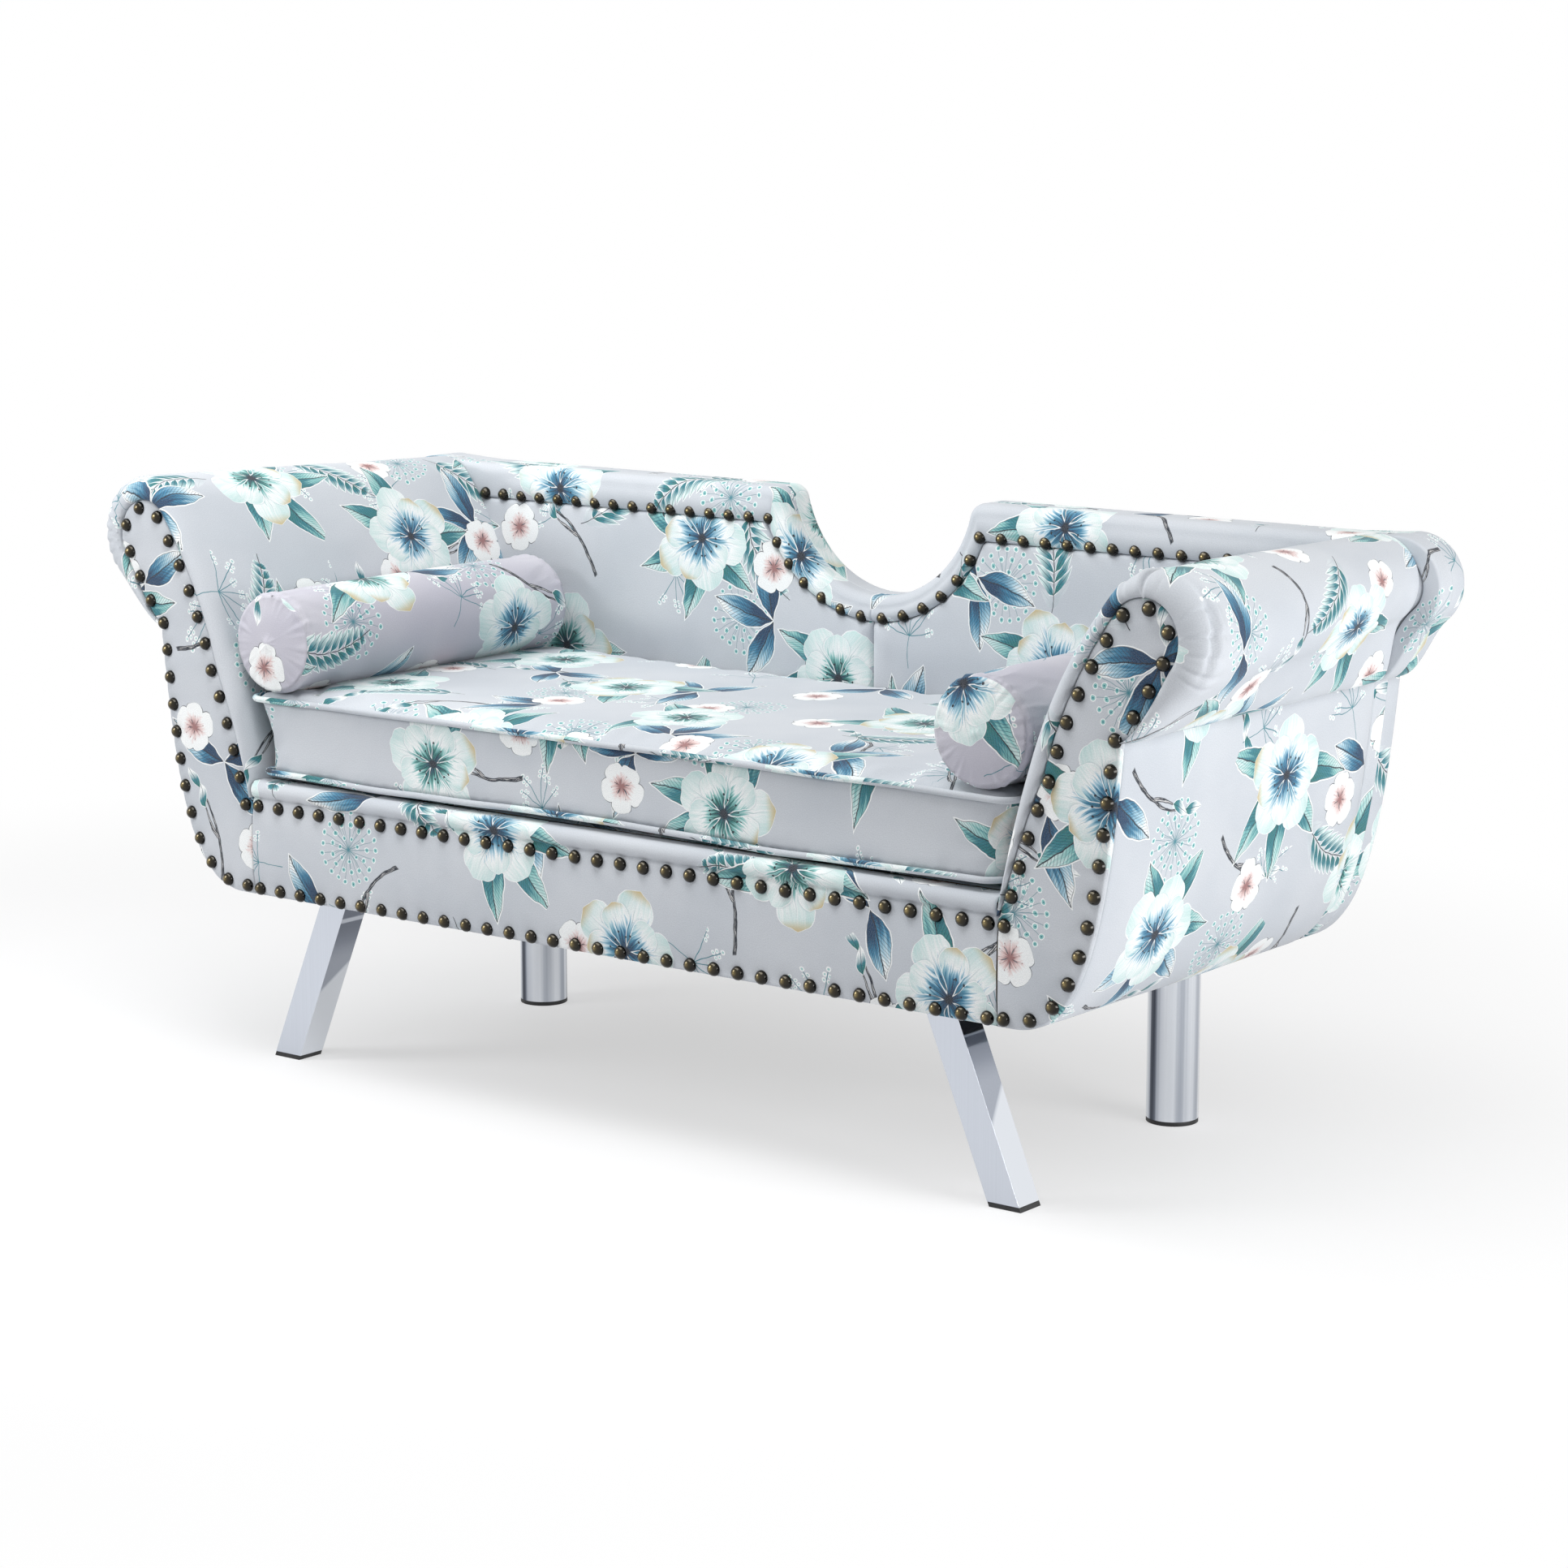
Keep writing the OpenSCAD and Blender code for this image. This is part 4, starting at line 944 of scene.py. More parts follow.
def finish_piece(piece, *nodes, fill=None, body="frame", slot="fabric_print", material=PRINT):
    """Gives a piece its material and its place in the frame. The fill argument, how full a padded piece is,
    is not used.
    """
    piece.data.materials.clear()
    piece.data.materials.append(material)
    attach(piece, body)
    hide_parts(*nodes)


# Arms

TIP = np.stack([np.full(N_TIP, HALF), DECK_Z - LIP_DROP * (1 - shares(N_TIP))], -1)
FRONT_CURVE = np.concatenate([TIP, arm_curve(FRONT_SCROLL)])
REAR_CURVE = np.concatenate([TIP, arm_curve(REAR_SCROLL)])
SIDE_CURVE = side_curve()
EDGES = np.concatenate([shares(N_TIP) * TIP_SHARE * EDGE_W, edge_widths()])
PANEL_IN = EDGES + CLOTH_T + 0.3
ROLL_BULGE = 4
ROLL_ROWS = 24
ROLL_TUCK = 1.02
ROLL_LOOSE = 0.9
PLEAT_START = 0.2
ARM_ROWS = 96
ARM_RUN = ARM_END_Y - FRONT_Y - EDGE_W
ROW_POWER = 1.5
SIDE_ROWS = 60
NECK_TUCK = 7
SEAM_DEPTH = 2.4
SEAM_W = 7
SIDE_SWELL = 2.5
# Turn of the cloth at the arm's rear end: share of the tuck, and place from the end
END_TUCK = 7
END_TURN = ((0, -2), (0.05, -1), (0.14, -0.3), (0.3, 0), (1, 0.2))

# Pleats round each arm's head: place in degrees and weight
PLEATS = {1: ((124, 0.8), (100, 2.0), (82, 0.6), (34, 0.6), (8, 0.9), (-12, 0.7), (-30, 0.8), (-43, 0.5)),
          -1: ((120, 0.5), (92, 0.5), (66, 0.7), (47, 0.6), (31, 0.9), (16, 0.6), (2, 0.9), (-13, 0.7),
               (-28, 0.8), (-42, 0.6))}
PLEAT_DEPTH = 2.5
PLEAT_W = 3.1
PLEAT_RUN = 40
OFF_HEAD = 400.0
# Crease behind each roll: middle and spread in degrees, and depth
CREASES = {1: (18, 40, 6.5), -1: (24, 26, 2.0)}
CREASE_W = 3.0
CREASE_VALLEY = 9
CREASE_RIDGE = 18
CREASE_SLANT = 0.12


def roll_profile(t):
    """Section of the padded roll: share of its width, and depth behind the panel's face."""
    return bezier([(1, 1), (0.95, -2.1 * ROLL_BULGE), (0, -0.15 * EDGE_W), (0, EDGE_W)], t)


def pleat_fold(angles, behind, side):
    """Inward depth of the gathered pleats round the arm's head, fading behind the roll."""
    depth = np.zeros((len(angles), len(behind)))
    for centre, weight in PLEATS[side]:
        from_highlight = np.radians(angles - centre)[:, None] * FRONT_SCROLL[2]
        fade = np.exp(-((behind / (PLEAT_RUN * (0.6 + 0.4 * weight))) ** 2))[None, :]
        width = PLEAT_W * (1 + behind[None, :] / PLEAT_RUN)
        valley = np.exp(-(from_highlight / width) ** 2)
        ridge = np.exp(-((from_highlight - 1.9 * width) / (1.4 * width)) ** 2)
        depth += PLEAT_DEPTH * weight * fade * (valley - 0.55 * ridge)
    middle, spread, crease = CREASES[side]
    round_head = np.exp(-((angles - middle) / spread) ** 2)[:, None]
    slant = (angles - middle)[:, None] * CREASE_SLANT
    valley = np.exp(-((behind[None, :] - CREASE_VALLEY - slant) / CREASE_W) ** 2)
    ridge = np.exp(-((behind[None, :] - CREASE_RIDGE - slant) / (2.2 * CREASE_W)) ** 2)
    return depth + crease * round_head * (valley - 0.45 * ridge)


def arm_cover(side):
    """Cloth over the inner face, the scroll and the rolled front edge of one arm."""
    n_front = normals(FRONT_CURVE)
    roll = roll_profile(shares(ROLL_ROWS, True))
    depths = np.concatenate([[FRONT_Y + PANEL_T], FRONT_Y + roll[:, 1],
                             FRONT_Y + EDGE_W + ARM_RUN * shares(ARM_ROWS, True)[1:] ** ROW_POWER])
    insets = np.concatenate([[ROLL_TUCK], roll[:, 0], np.zeros(ARM_ROWS)])
    lines = []
    for y, share in zip(depths, insets):
        along = max(0, (y - FRONT_Y - EDGE_W) / ARM_RUN) if share == 0 else 0
        line = FRONT_CURVE * (1 - along) + REAR_CURVE * along
        lines.append(with_depth(line + n_front * (share * (EDGES + CLOTH_T))[:, None], y))
    points = np.stack(lines, 1)
    angles = np.full(len(FRONT_CURVE), OFF_HEAD)
    head = N_TIP + N_IN
    angles[head:head + N_SCROLL] = scroll_angles(SCROLL_START, N_SCROLL)
    out = with_depth(n_front, 0)[:, None, :]
    behind = np.maximum(depths - FRONT_Y - PLEAT_START * EDGE_W, 0)
    points = points + out * (pleat_fold(angles, behind, side) * (insets < ROLL_LOOSE))[..., None]
    soft = smooth_step(depths, FRONT_Y + 4, FRONT_Y + 40)
    soft = soft * (1 - smooth_step(depths, ARM_END_Y - 30, ARM_END_Y))
    uneven = ripple(points, 150, 11 + side) * 0.9 + ripple(points, 60, 21 + side) * 0.25
    points = points + out * (uneven * soft)[..., None]
    n_rear = normals(REAR_CURVE)
    ends = [with_depth(REAR_CURVE + n_rear * (share * END_TUCK), ARM_END_Y + back)
            for share, back in END_TURN]
    points = np.concatenate([points[:, :-1], np.stack(ends, 1)], 1)
    points = np.concatenate([points, points[-1:] + out[-1:] * NECK_TUCK])
    run = lengths(FRONT_CURVE)
    run = np.append(run, run[-1] + NECK_TUCK)
    print_at = grid_of(lengths(points[head])[None, :], run[:, None]) + cut("arm_cover", side)
    return one_grid("arm_cover_cloth_" + SIDE_NAMES[side], mirrored(points, side), print_at, side < 0)


def nail_places(side):
    """Places of the nails on one arm's front, in X and Z, with the side's sign."""
    curve = inset(FRONT_CURVE, PANEL_IN + NAIL_IN)[:-1]
    top = [HALF + NAIL_IN, DECK_Z - LIP_DROP - NAIL_IN]
    line = np.concatenate([[top], curve[curve[:, 1] > DECK_Z], inset(SIDE_CURVE, NAIL_IN),
                           [[HALF + NAIL_IN, BODY_Z + NAIL_IN]]])
    return spaced(line, round(lengths(line)[-1] / NAIL_PITCH)) * [side, 1]


def dimples(points, nails, depth, width):
    """How far nails pull a cloth in at each point."""
    pull = np.zeros(len(points))
    for nail in nails:
        pull = np.maximum(pull, depth * np.exp(-np.sum((points - nail) ** 2, -1) / width ** 2))
    return pull


def padded_panel(name, outline, face_y, thick, edge_r, bulge, rise, step, offset, seed, nails=(), facing=-1,
                 bulge_mask=None):
    """Upholstered panel in X and Z with a rounded edge and a soft face, towards -Y or, with facing=1, +Y."""
    rings = [0.12 * edge_r, 0.35 * edge_r, 0.65 * edge_r, edge_r, edge_r + step / 2]
    flat, faces = fill_shape(outline, step, rings)
    from_highlight = edge_distance(flat, outline)
    drop = edge_r - np.sqrt(np.maximum(edge_r ** 2 - np.maximum(edge_r - from_highlight, 0) ** 2, 0))
    swell = bulge * (1 - np.exp(-from_highlight / rise))
    if bulge_mask:
        swell = swell * bulge_mask(flat)
    swell = swell + ripple(flat, 90, seed) * 0.35 * smooth_step(from_highlight, 2, 25)
    forward = swell - drop - dimples(flat, nails, *PANEL_DIMPLE)
    points = np.stack([flat[:, 0], face_y + facing * forward, flat[:, 1]], -1)
    shell = Shell()
    shell.patch(points, flat + offset, faces)
    rim = closed(outline)
    front = with_depth(rim, face_y - facing * edge_r)
    back = front - [0, facing * (thick - edge_r), 0]
    shell.grid(np.stack([front, back], 1), np.stack([rim, rim + [0, thick]], 1) + offset)
    return shell.build(name)


def arm_front_panel(side):
    line = np.concatenate([[[HALF, BODY_Z], [HALF, DECK_Z - LIP_DROP]], inset(FRONT_CURVE, PANEL_IN),
                           SIDE_CURVE[1:]])
    foot = spaced(np.array([line[-1], line[0]]), 5)[1:-1]
    outline = np.concatenate([spaced(line, 260), foot]) * [side, 1]
    return padded_panel("arm_panel_cloth_" + SIDE_NAMES[side], outline, FRONT_Y, PANEL_T, 3, 2.2, 12, 7,
                        cut("arm_front", side), 31 + side, nails=nail_places(side))


def arm_side_panel(side):
    """Cloth on the outside of one arm, from the neck to the underside."""
    line = np.concatenate([SIDE_CURVE, [[HALF + 1, BODY_Z]]])
    out = -normals(line)
    start = FRONT_Y + PANEL_T
    turn = np.array(END_TURN)
    depths = np.concatenate([[start, start, start + 0.6, start + 1.8, start + 4],
                             np.linspace(start + 9, ARM_END_Y - 6, SIDE_ROWS), ARM_END_Y + turn[:, 1]])
    drops = np.concatenate([[7, 4, 1.9, 0.7, 0], np.zeros(SIDE_ROWS), turn[:, 0] * END_TUCK])
    run = lengths(line)
    middle = np.sin(np.pi * np.clip(run / run[N_SIDE], 0, 1)) ** 0.7
    swell = SIDE_SWELL * middle[:, None] * (1 - np.exp(-(depths - start) / 25))[None, :]
    points = np.stack([with_depth(line - out * drop, y) for y, drop in zip(depths, drops)], 1)
    side_out = with_depth(out, 0)[:, None, :]
    ease = 1 - smooth_step(depths, ARM_END_Y - 12, ARM_END_Y - 2)
    swell = swell * ease[None, :]
    soft = (smooth_step(depths, start + 4, start + 30) * ease)[None, :] * middle[:, None]
    sewn = SEAM_DEPTH * np.exp(-(run / SEAM_W) ** 2)[:, None] * ease[None, :]
    points = points + side_out * (swell - sewn + soft * ripple(points, 170, 41 + side) * 0.9)[..., None]
    points = np.concatenate([points[:1] - side_out[:1] * 6 + [0, 0, 2], points])
    run = np.concatenate([[-6], run])
    print_at = grid_of(depths[None, :], -run[:, None]) + cut("arm_side", side)
    return one_grid("arm_side_cloth_" + SIDE_NAMES[side], mirrored(points, side), print_at, side < 0)


def nail_row(name, places, face_y, seed, node):
    """Row of domed nails with a rolled rim, in one mesh. Places are in X and Z."""
    rng = np.random.default_rng(seed)
    dome_r = (NAIL_D ** 2 / 4 + NAIL_H ** 2) / (2 * NAIL_H)
    edge = math.asin(NAIL_D / 2 / dome_r)
    bends = [edge * k / DOME_RINGS for k in range(1, DOME_RINGS + 1)]
    radii = [0] + [dome_r * math.sin(a) for a in bends] + [NAIL_D / 2 + 0.15, NAIL_D / 2 - 0.2]
    heights = [NAIL_H] + [NAIL_H - dome_r * (1 - math.cos(a)) + 0.25 for a in bends] + [-0.25, -0.9]
    shell = Shell()
    turn = np.linspace(0, 2 * np.pi, NAIL_SIDES + 1)
    x = np.array(radii)[:, None] * np.cos(turn)[None, :]
    z = np.array(radii)[:, None] * np.sin(turn)[None, :]
    for place in places:
        tilt = rng.normal(0, NAIL_TILT, 2)
        y = -np.array(heights)[:, None] + x * tilt[0] + z * tilt[1]
        points = np.stack([x + place[0], y + face_y + rng.uniform(*NAIL_UNEVEN), z + place[1]], -1)
        shell.grid(points, np.stack([x, z], -1))
    finish_piece(shell.build(name), node, slot="nail_bronze", material=BRONZE)


for sign, side_name in SIDE_NAMES.items():
    finish_piece(arm_cover(sign), "arm_cover_" + side_name, "arm_foam_" + side_name, fill=0.9)
    finish_piece(arm_front_panel(sign), "arm_front_panel_" + side_name, fill=1)
    finish_piece(arm_side_panel(sign), "arm_side_panel_" + side_name, fill=1)
    nail_row("arm_nail_heads_" + side_name, nail_places(sign), FRONT_Y - 0.6, 50 + sign,
             "arm_nails_" + side_name)


# Back

def back_lines():
    """Outline of the back's right half and the border's inner line, point for point, from the notch."""
    shoulder_x = math.sqrt((NOTCH_R + SHOULDER_R) ** 2 - (NOTCH_Z - TOP_Z + SHOULDER_R) ** 2)
    shoulder_a = math.degrees(math.atan2(TOP_Z - SHOULDER_R - NOTCH_Z, shoulder_x))
    shoulder_turns = 180 + shoulder_a - (90 + shoulder_a) * shares(N_SHOULDER, True)[1:]
    angles = scroll_angles(BACK_SCROLL_START, N_SCROLL)
    ends = np.concatenate([scroll_arc(BACK_SCROLL, angles), under_line(BACK_SCROLL, shares(N_UNDER)),
                           SIDE_CURVE])
    top_end = np.array([HALF + BACK_SCROLL[0] - 1.3 * BACK_SCROLL[2], TOP_Z])
    shoulder_end = np.array([shoulder_x, TOP_Z])
    outline = np.concatenate([
        arc((0, NOTCH_Z), NOTCH_R, -90 + (90 + shoulder_a) * NOTCH_SHARES),
        arc((shoulder_x, TOP_Z - SHOULDER_R), SHOULDER_R, shoulder_turns),
        spaced(np.array([shoulder_end, top_end]), N_TOP)[1:], ends])
    inner_r = NOTCH_R + BORDER_NOTCH + NAIL_IN / 2
    inner_z = TOP_Z - BORDER_TOP - NAIL_IN / 2
    rise = NOTCH_Z - inner_z + INNER_CORNER_R
    corner = np.array([math.sqrt(inner_r ** 2 - rise ** 2) + INNER_CORNER_R, inner_z - INNER_CORNER_R])
    inner_a = 180 - math.degrees(math.acos(-rise / inner_r))
    inner_end = np.array([LAST_NAIL_X + NAIL_D / 2, inner_z])
    inner = np.concatenate([
        arc((0, NOTCH_Z), inner_r, -90 + inner_a * NOTCH_SHARES),
        arc(corner, INNER_CORNER_R, shoulder_turns),
        spaced(np.array([[corner[0], inner_z], inner_end]), N_TOP)[1:],
        inset(ends, END_BORDER)])
    return outline, inner


def whole(line):
    """A right-hand line with its left-hand mirror, from left to right."""
    return np.concatenate([line[:0:-1] * [-1, 1], line])


RIGHT_OUTLINE, RIGHT_INNER = back_lines()
BACK_OUTLINE = whole(RIGHT_OUTLINE)
BACK_INNER = whole(RIGHT_INNER)

# Section of the border from its inner edge to the rounded one: share of its width, and swell
BORDER_SHARES = (-0.02, 0, 0.04, 0.12, 0.25, 0.4, 0.55, 0.7, 0.85, 1)
BORDER_SWELL = (-6, -2.5, -0.6, 0.9, 2.4, 3.2, 3.3, 2.7, 1.5, 0)
EDGE_TURNS = np.radians(90 * shares(8, True)[1:])
BORDER_SEAM = 2
BORDER_SEAM_W = 1.1
RIM_FOOT = 60
SEAM_X = 0.4
INSIDE_FOOT = 9


def back_nail_places():
    notch_r = NOTCH_R + BORDER_NOTCH
    row_z = TOP_Z - BORDER_TOP
    span = math.acos((NOTCH_Z - row_z) / notch_r)
    count = round(notch_r * span / NAIL_PITCH + 0.5) - 0.5
    x0 = notch_r * math.sin(span)
    row = round((LAST_NAIL_X - x0) / (NAIL_PITCH * 0.94))
    places = [(notch_r * math.sin(a), NOTCH_Z - notch_r * math.cos(a))
              for a in (span / count * (k + 0.5) for k in range(int(count + 0.5)))]
    places += [(x0 + (LAST_NAIL_X - x0) * k / row, row_z) for k in range(1, row + 1)]
    places = np.array(places)
    return np.concatenate([places, places * [-1, 1]])


def back_border():
    """Padded border round the front edge of the back."""
    out = normals(BACK_OUTLINE)
    from_middle = np.abs(BACK_OUTLINE[:, 0])
    window = 1 - smooth_step(from_middle, HALF + 20, HALF + 60)
    at_arm = smooth_step(from_middle, HALF + 70, HALF + 130)
    edge_r = BACK_EDGE_R + (END_EDGE_R - BACK_EDGE_R) * at_arm
    turn_in = out * edge_r[:, None]
    across = BACK_OUTLINE + turn_in - BACK_INNER
    columns = [with_depth(BACK_INNER + across * share, BACK_Y - rise * np.where(rise > 0, window, 1))
               for share, rise in zip(BORDER_SHARES, BORDER_SWELL)]
    columns += [with_depth(BACK_OUTLINE + turn_in * (1 - math.sin(a)), BACK_Y + edge_r * (1 - math.cos(a)))
                for a in EDGE_TURNS]
    columns += [with_depth(BACK_OUTLINE, (BACK_Y + edge_r) * (1 - share) + (BORDER_END_Y + 0.3) * share)
                for share in shares(3, True)[1:]]
    points = np.stack(columns, 1)
    flat = points[..., [0, 2]].reshape(-1, 2)
    pull = dimples(flat, back_nail_places(), *BORDER_DIMPLE).reshape(points.shape[:2])
    pull[:, len(BORDER_SHARES):] = 0
    points[..., 1] += pull + ripple(points, 80, 61) * 0.35
    turns = np.concatenate([np.zeros(len(BORDER_SHARES)), EDGE_TURNS, np.full(3, np.pi / 2)])
    inward = np.stack([np.zeros(len(turns)), np.cos(turns), -np.sin(turns)], -1)
    in_notch = points[..., 2] < NOTCH_Z - NOTCH_R / 2
    seam = BORDER_SEAM * np.exp(-(points[..., 0] / BORDER_SEAM_W) ** 2) * in_notch
    points = points + seam[..., None] * inward
    width_at = len(points) // 2 + 60
    print_at = grid_of(lengths(BACK_OUTLINE)[:, None], lengths(points[width_at])[None, :])
    return one_grid("back_border_cloth", points, print_at + cut("back_border"))


def back_rim():
    """Cloth behind the border, over the rim and round to the outside back."""
    foot = spaced(np.array([BACK_OUTLINE[-1], BACK_OUTLINE[0]]), RIM_FOOT)[1:]
    line = np.concatenate([BACK_OUTLINE, foot])
    out = np.concatenate([normals(BACK_OUTLINE), np.tile([0.0, 1.0], (RIM_FOOT, 1))])
    columns = [with_depth(line + out * drop, BORDER_END_Y + back)
               for drop, back in ((3, 0.3), (0.8, 0.5), (0, 1.6))]
    columns += [with_depth(line, y) for y in np.linspace(BORDER_END_Y + 4, REAR_Y - BACK_EDGE_R, 5)]
    columns += [with_depth(line + out * BACK_EDGE_R * (1 - math.cos(a)),
                           REAR_Y - BACK_EDGE_R * (1 - math.sin(a))) for a in EDGE_TURNS]
    points = np.stack(columns, 1)
    print_at = grid_of(lengths(line)[:, None], lengths(points[0])[None, :]) + cut("back_rim")
    return one_grid("back_rim_cloth", points, print_at)


def outside_back():
    line = inset(np.concatenate([BACK_OUTLINE, [[HALF, BODY_Z], [-HALF, BODY_Z]]]), BACK_EDGE_R)
    outline = spaced(closed(line), 420)[:-1]
    return padded_panel("outside_back_cloth", outline, REAR_Y, 3, 2, 1.2, 40, 16, cut("back_outside"), 71,
                        facing=1)


def above_cushion(flat):
    """Share of the swell at each place of the inside back, fuller beside the middle seam."""
    beside_seam = np.exp(-((np.abs(flat[:, 0]) - 15) / 13) ** 2)
    return smooth_step(flat[:, 1], CUSHION_TOP - 6, CUSHION_TOP + 60) * (1 + 1.5 * beside_seam)


def inside_back(side):
    """Padded inside back, left or right of the middle seam."""
    line = RIGHT_INNER[RIGHT_INNER[:, 0] > SEAM_X]
    line = inset(np.concatenate([[[SEAM_X, RIGHT_INNER[0, 1]]], line]), 0.5)
    line = line[line[:, 1] > DECK_Z + 2]
    foot_z = DECK_Z - INSIDE_FOOT
    loop = np.concatenate([line, [[line[-1, 0], foot_z], [SEAM_X, foot_z]]])
    outline = spaced(closed(loop), 320)[:-1] * [side, 1]
    return padded_panel("inside_back_cloth_" + SIDE_NAMES[side], outline, BACK_Y, 8, 6, 6, 45, 9,
                        cut("back_inside", side), 81 + side, nails=back_nail_places(),
                        bulge_mask=above_cushion)


finish_piece(back_border(), "back_border", fill=0.9)
finish_piece(back_rim(), "back_rim_cover", fill=1)
finish_piece(outside_back(), "back_outside_cover", fill=1)
for sign, side_name in SIDE_NAMES.items():
    finish_piece(inside_back(sign), "back_cover_" + side_name, fill=0.9)
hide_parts("back_foam")
nail_row("back_nail_heads", back_nail_places(), BACK_Y + 0.3, 91, "back_nails")


# Front rail and deck

def rail_nail_places():
    count = round((2 * HALF - NAIL_PITCH) / NAIL_PITCH)
    end = HALF - NAIL_IN - 1.5
    x = np.linspace(-end, end, count + 1)
    rows = (BODY_Z + NAIL_D / 2, DECK_Z - 2 * LIP_R - NAIL_IN + CLOTH_T)
    return np.concatenate([np.stack([x, np.full(len(x), z)], -1) for z in rows])


RAIL_CORNER_R = 4
RAIL_END_R = 4
RAIL_SWELL = 2.6
DECK_EDGE_R = 5


def rail_section(face_top):
    """Section of the rail's cloth in Y and Z, from its underside over the lip to the deck."""
    foot = arc((FRONT_Y + RAIL_CORNER_R, BODY_Z + RAIL_CORNER_R), RAIL_CORNER_R, np.linspace(270, 180, 6))
    face = np.stack([np.full(20, FRONT_Y), np.linspace(BODY_Z + RAIL_CORNER_R, face_top - 3, 20)], -1)
    crease = np.array([FRONT_Y, face_top]) + [[0.6, -1], [2.4, 1], [1.8, 2.6]]
    lip = arc((FRONT_Y + LIP_R - LIP_FORWARD, DECK_Z - LIP_R), LIP_R, np.linspace(224, 90, 18))
    return np.concatenate([[[FRONT_Y + 30, BODY_Z + 0.5], [FRONT_Y + 12, BODY_Z]], foot, face[1:], crease,
                           lip, [[FRONT_Y + 20, DECK_Z], [FRONT_Y + 31, DECK_Z - 1]]])


def rail_cover():
    """Cloth on the front rail, with a rolled lip along its top."""
    face_top = DECK_Z - 2 * LIP_R
    section = rail_section(face_top)
    end = HALF - np.array([0.3, 0.8, 2, 4])
    x = np.concatenate([-end, np.linspace(-HALF + 7, HALF - 7, 190), end[::-1]])
    points = grid_of(x[None, :], section[:, :1], section[:, 1:])
    flat = points[..., [0, 2]].reshape(-1, 2)
    on_face = ((section[:, 1] > BODY_Z + 1) & (section[:, 0] < FRONT_Y + 3))[:, None]
    pull = dimples(flat, rail_nail_places(), *RAIL_DIMPLE).reshape(points.shape[:2])
    height = section[:, 1:]
    up_face = np.clip((height - BODY_Z - 8) / (face_top - BODY_Z - 16), 0, 1)
    swell = RAIL_SWELL * np.sin(np.pi * up_face) ** 0.8
    near_end = np.maximum(RAIL_END_R - (HALF - np.abs(x)), 0)[None, :]
    edge_drop = RAIL_END_R - np.sqrt(np.maximum(RAIL_END_R ** 2 - near_end ** 2, 0))
    sway = ripple(points, 220, 101) * 0.8 + ripple(points, 60, 102) * 0.3
    points[..., 1] += on_face * (pull - swell + edge_drop) + sway * (height > BODY_Z + 3)
    return one_grid("rail_cloth", points, grid_of(x[None, :], lengths(section)[:, None]) + cut("rail"))


def deck_cover():
    """Cloth over the seat deck, under the cushion."""
    low, high = node_box("deck_pad")
    deep = high[2] - low[2] - 1
    sides = np.array([0, 0, 1.5, DECK_EDGE_R])
    drops = np.array([deep, DECK_EDGE_R, 1.5, 0])
    x = np.concatenate([low[0] + sides, np.linspace(low[0] + 30, high[0] - 30, 40), high[0] - sides[::-1]])
    y = np.linspace(low[1] + 1, high[1], 24)
    z = high[2] - np.concatenate([drops, np.zeros(40), drops[::-1]])
    points = grid_of(x[:, None], y[None, :], z[:, None])
    return one_grid("deck_cloth", points, points[..., :2] + cut("deck"))


finish_piece(rail_cover(), "rail_cover", "rail_foam", fill=0.9)
finish_piece(deck_cover(), "deck_pad", fill=0.9)
nail_row("rail_nail_heads", rail_nail_places(), FRONT_Y + 0.2, 111, "rail_nails")


# Seat cushion

FRONT_LIFT = 8
SEAM_PUCKER = 0.8
CUSHION_STEP = 9
CUSHION_SIDES = 10
SIDE_BULGE = 4
PUCKER_RUN = 0.16
CLOTH_GROW = 0.02
# Furthest move in millimetres, pressure and frames of each simulation
CUSHION_RUN = (4, 3.0, 20)
BOLSTER_RUN = (2, 2.0, 18)
CLOTH_SETTINGS = {
    "vertex_group_mass": "seams", "quality": 4, "mass": 0.2, "tension_stiffness": 12,
    "compression_stiffness": 12, "shear_stiffness": 6, "bending_stiffness": 0.25, "use_pressure": True,
    "shrink_min": -CLOTH_GROW}


def side_half_x(t):
    return CUSHION_X - END_LEAN * (1 - t)


def cushion_loop(hx, hy, step):
    """Outline of the cushion seen from above, drawn in along its sides."""
    cx, cy = hx - CORNER_R, hy - CORNER_R
    turn = 90 * shares(6, True)
    s_long = (1 - 2 * shares(round(2 * cx / step)))[1:]
    s_short = (1 - 2 * shares(round(2 * cy / step)))[1:]
    in_long = hy - DRAW_IN * (1 - s_long ** 2)
    in_short = hx - DRAW_IN * (1 - s_short ** 2)
    return np.concatenate([
        arc((cx, cy), CORNER_R, turn), np.stack([cx * s_long, in_long], -1),
        arc((-cx, cy), CORNER_R, 90 + turn), np.stack([-in_short, cy * s_short], -1),
        arc((-cx, -cy), CORNER_R, 180 + turn), np.stack([-cx * s_long, -in_long], -1),
        arc((cx, -cy), CORNER_R, 270 + turn), np.stack([in_short, -cy * s_short], -1)])


def cushion_lift(x, y):
    """How far the underside rises over the rail, where the filling doesn't reach the seam."""
    uneven = 0.75 + 0.25 * np.sin(x * 2 * np.pi / 610 + 1.9)
    return FRONT_LIFT * uneven * smooth_step(-y, CUSHION_HY - 90, CUSHION_HY - 6)


def crown_height(x, y, hx, hy):
    s = np.maximum(np.abs(x) / hx, np.abs(y) / hy)
    return CROWN * (1 - np.minimum(s, 1) ** CROWN_POWER)


def over_seat(line, z):
    """Points of a line seen from above, at a height and at the cushion's place."""
    return np.stack([line[:, 0], line[:, 1] + CUSHION_C, np.broadcast_to(z, len(line))], -1)


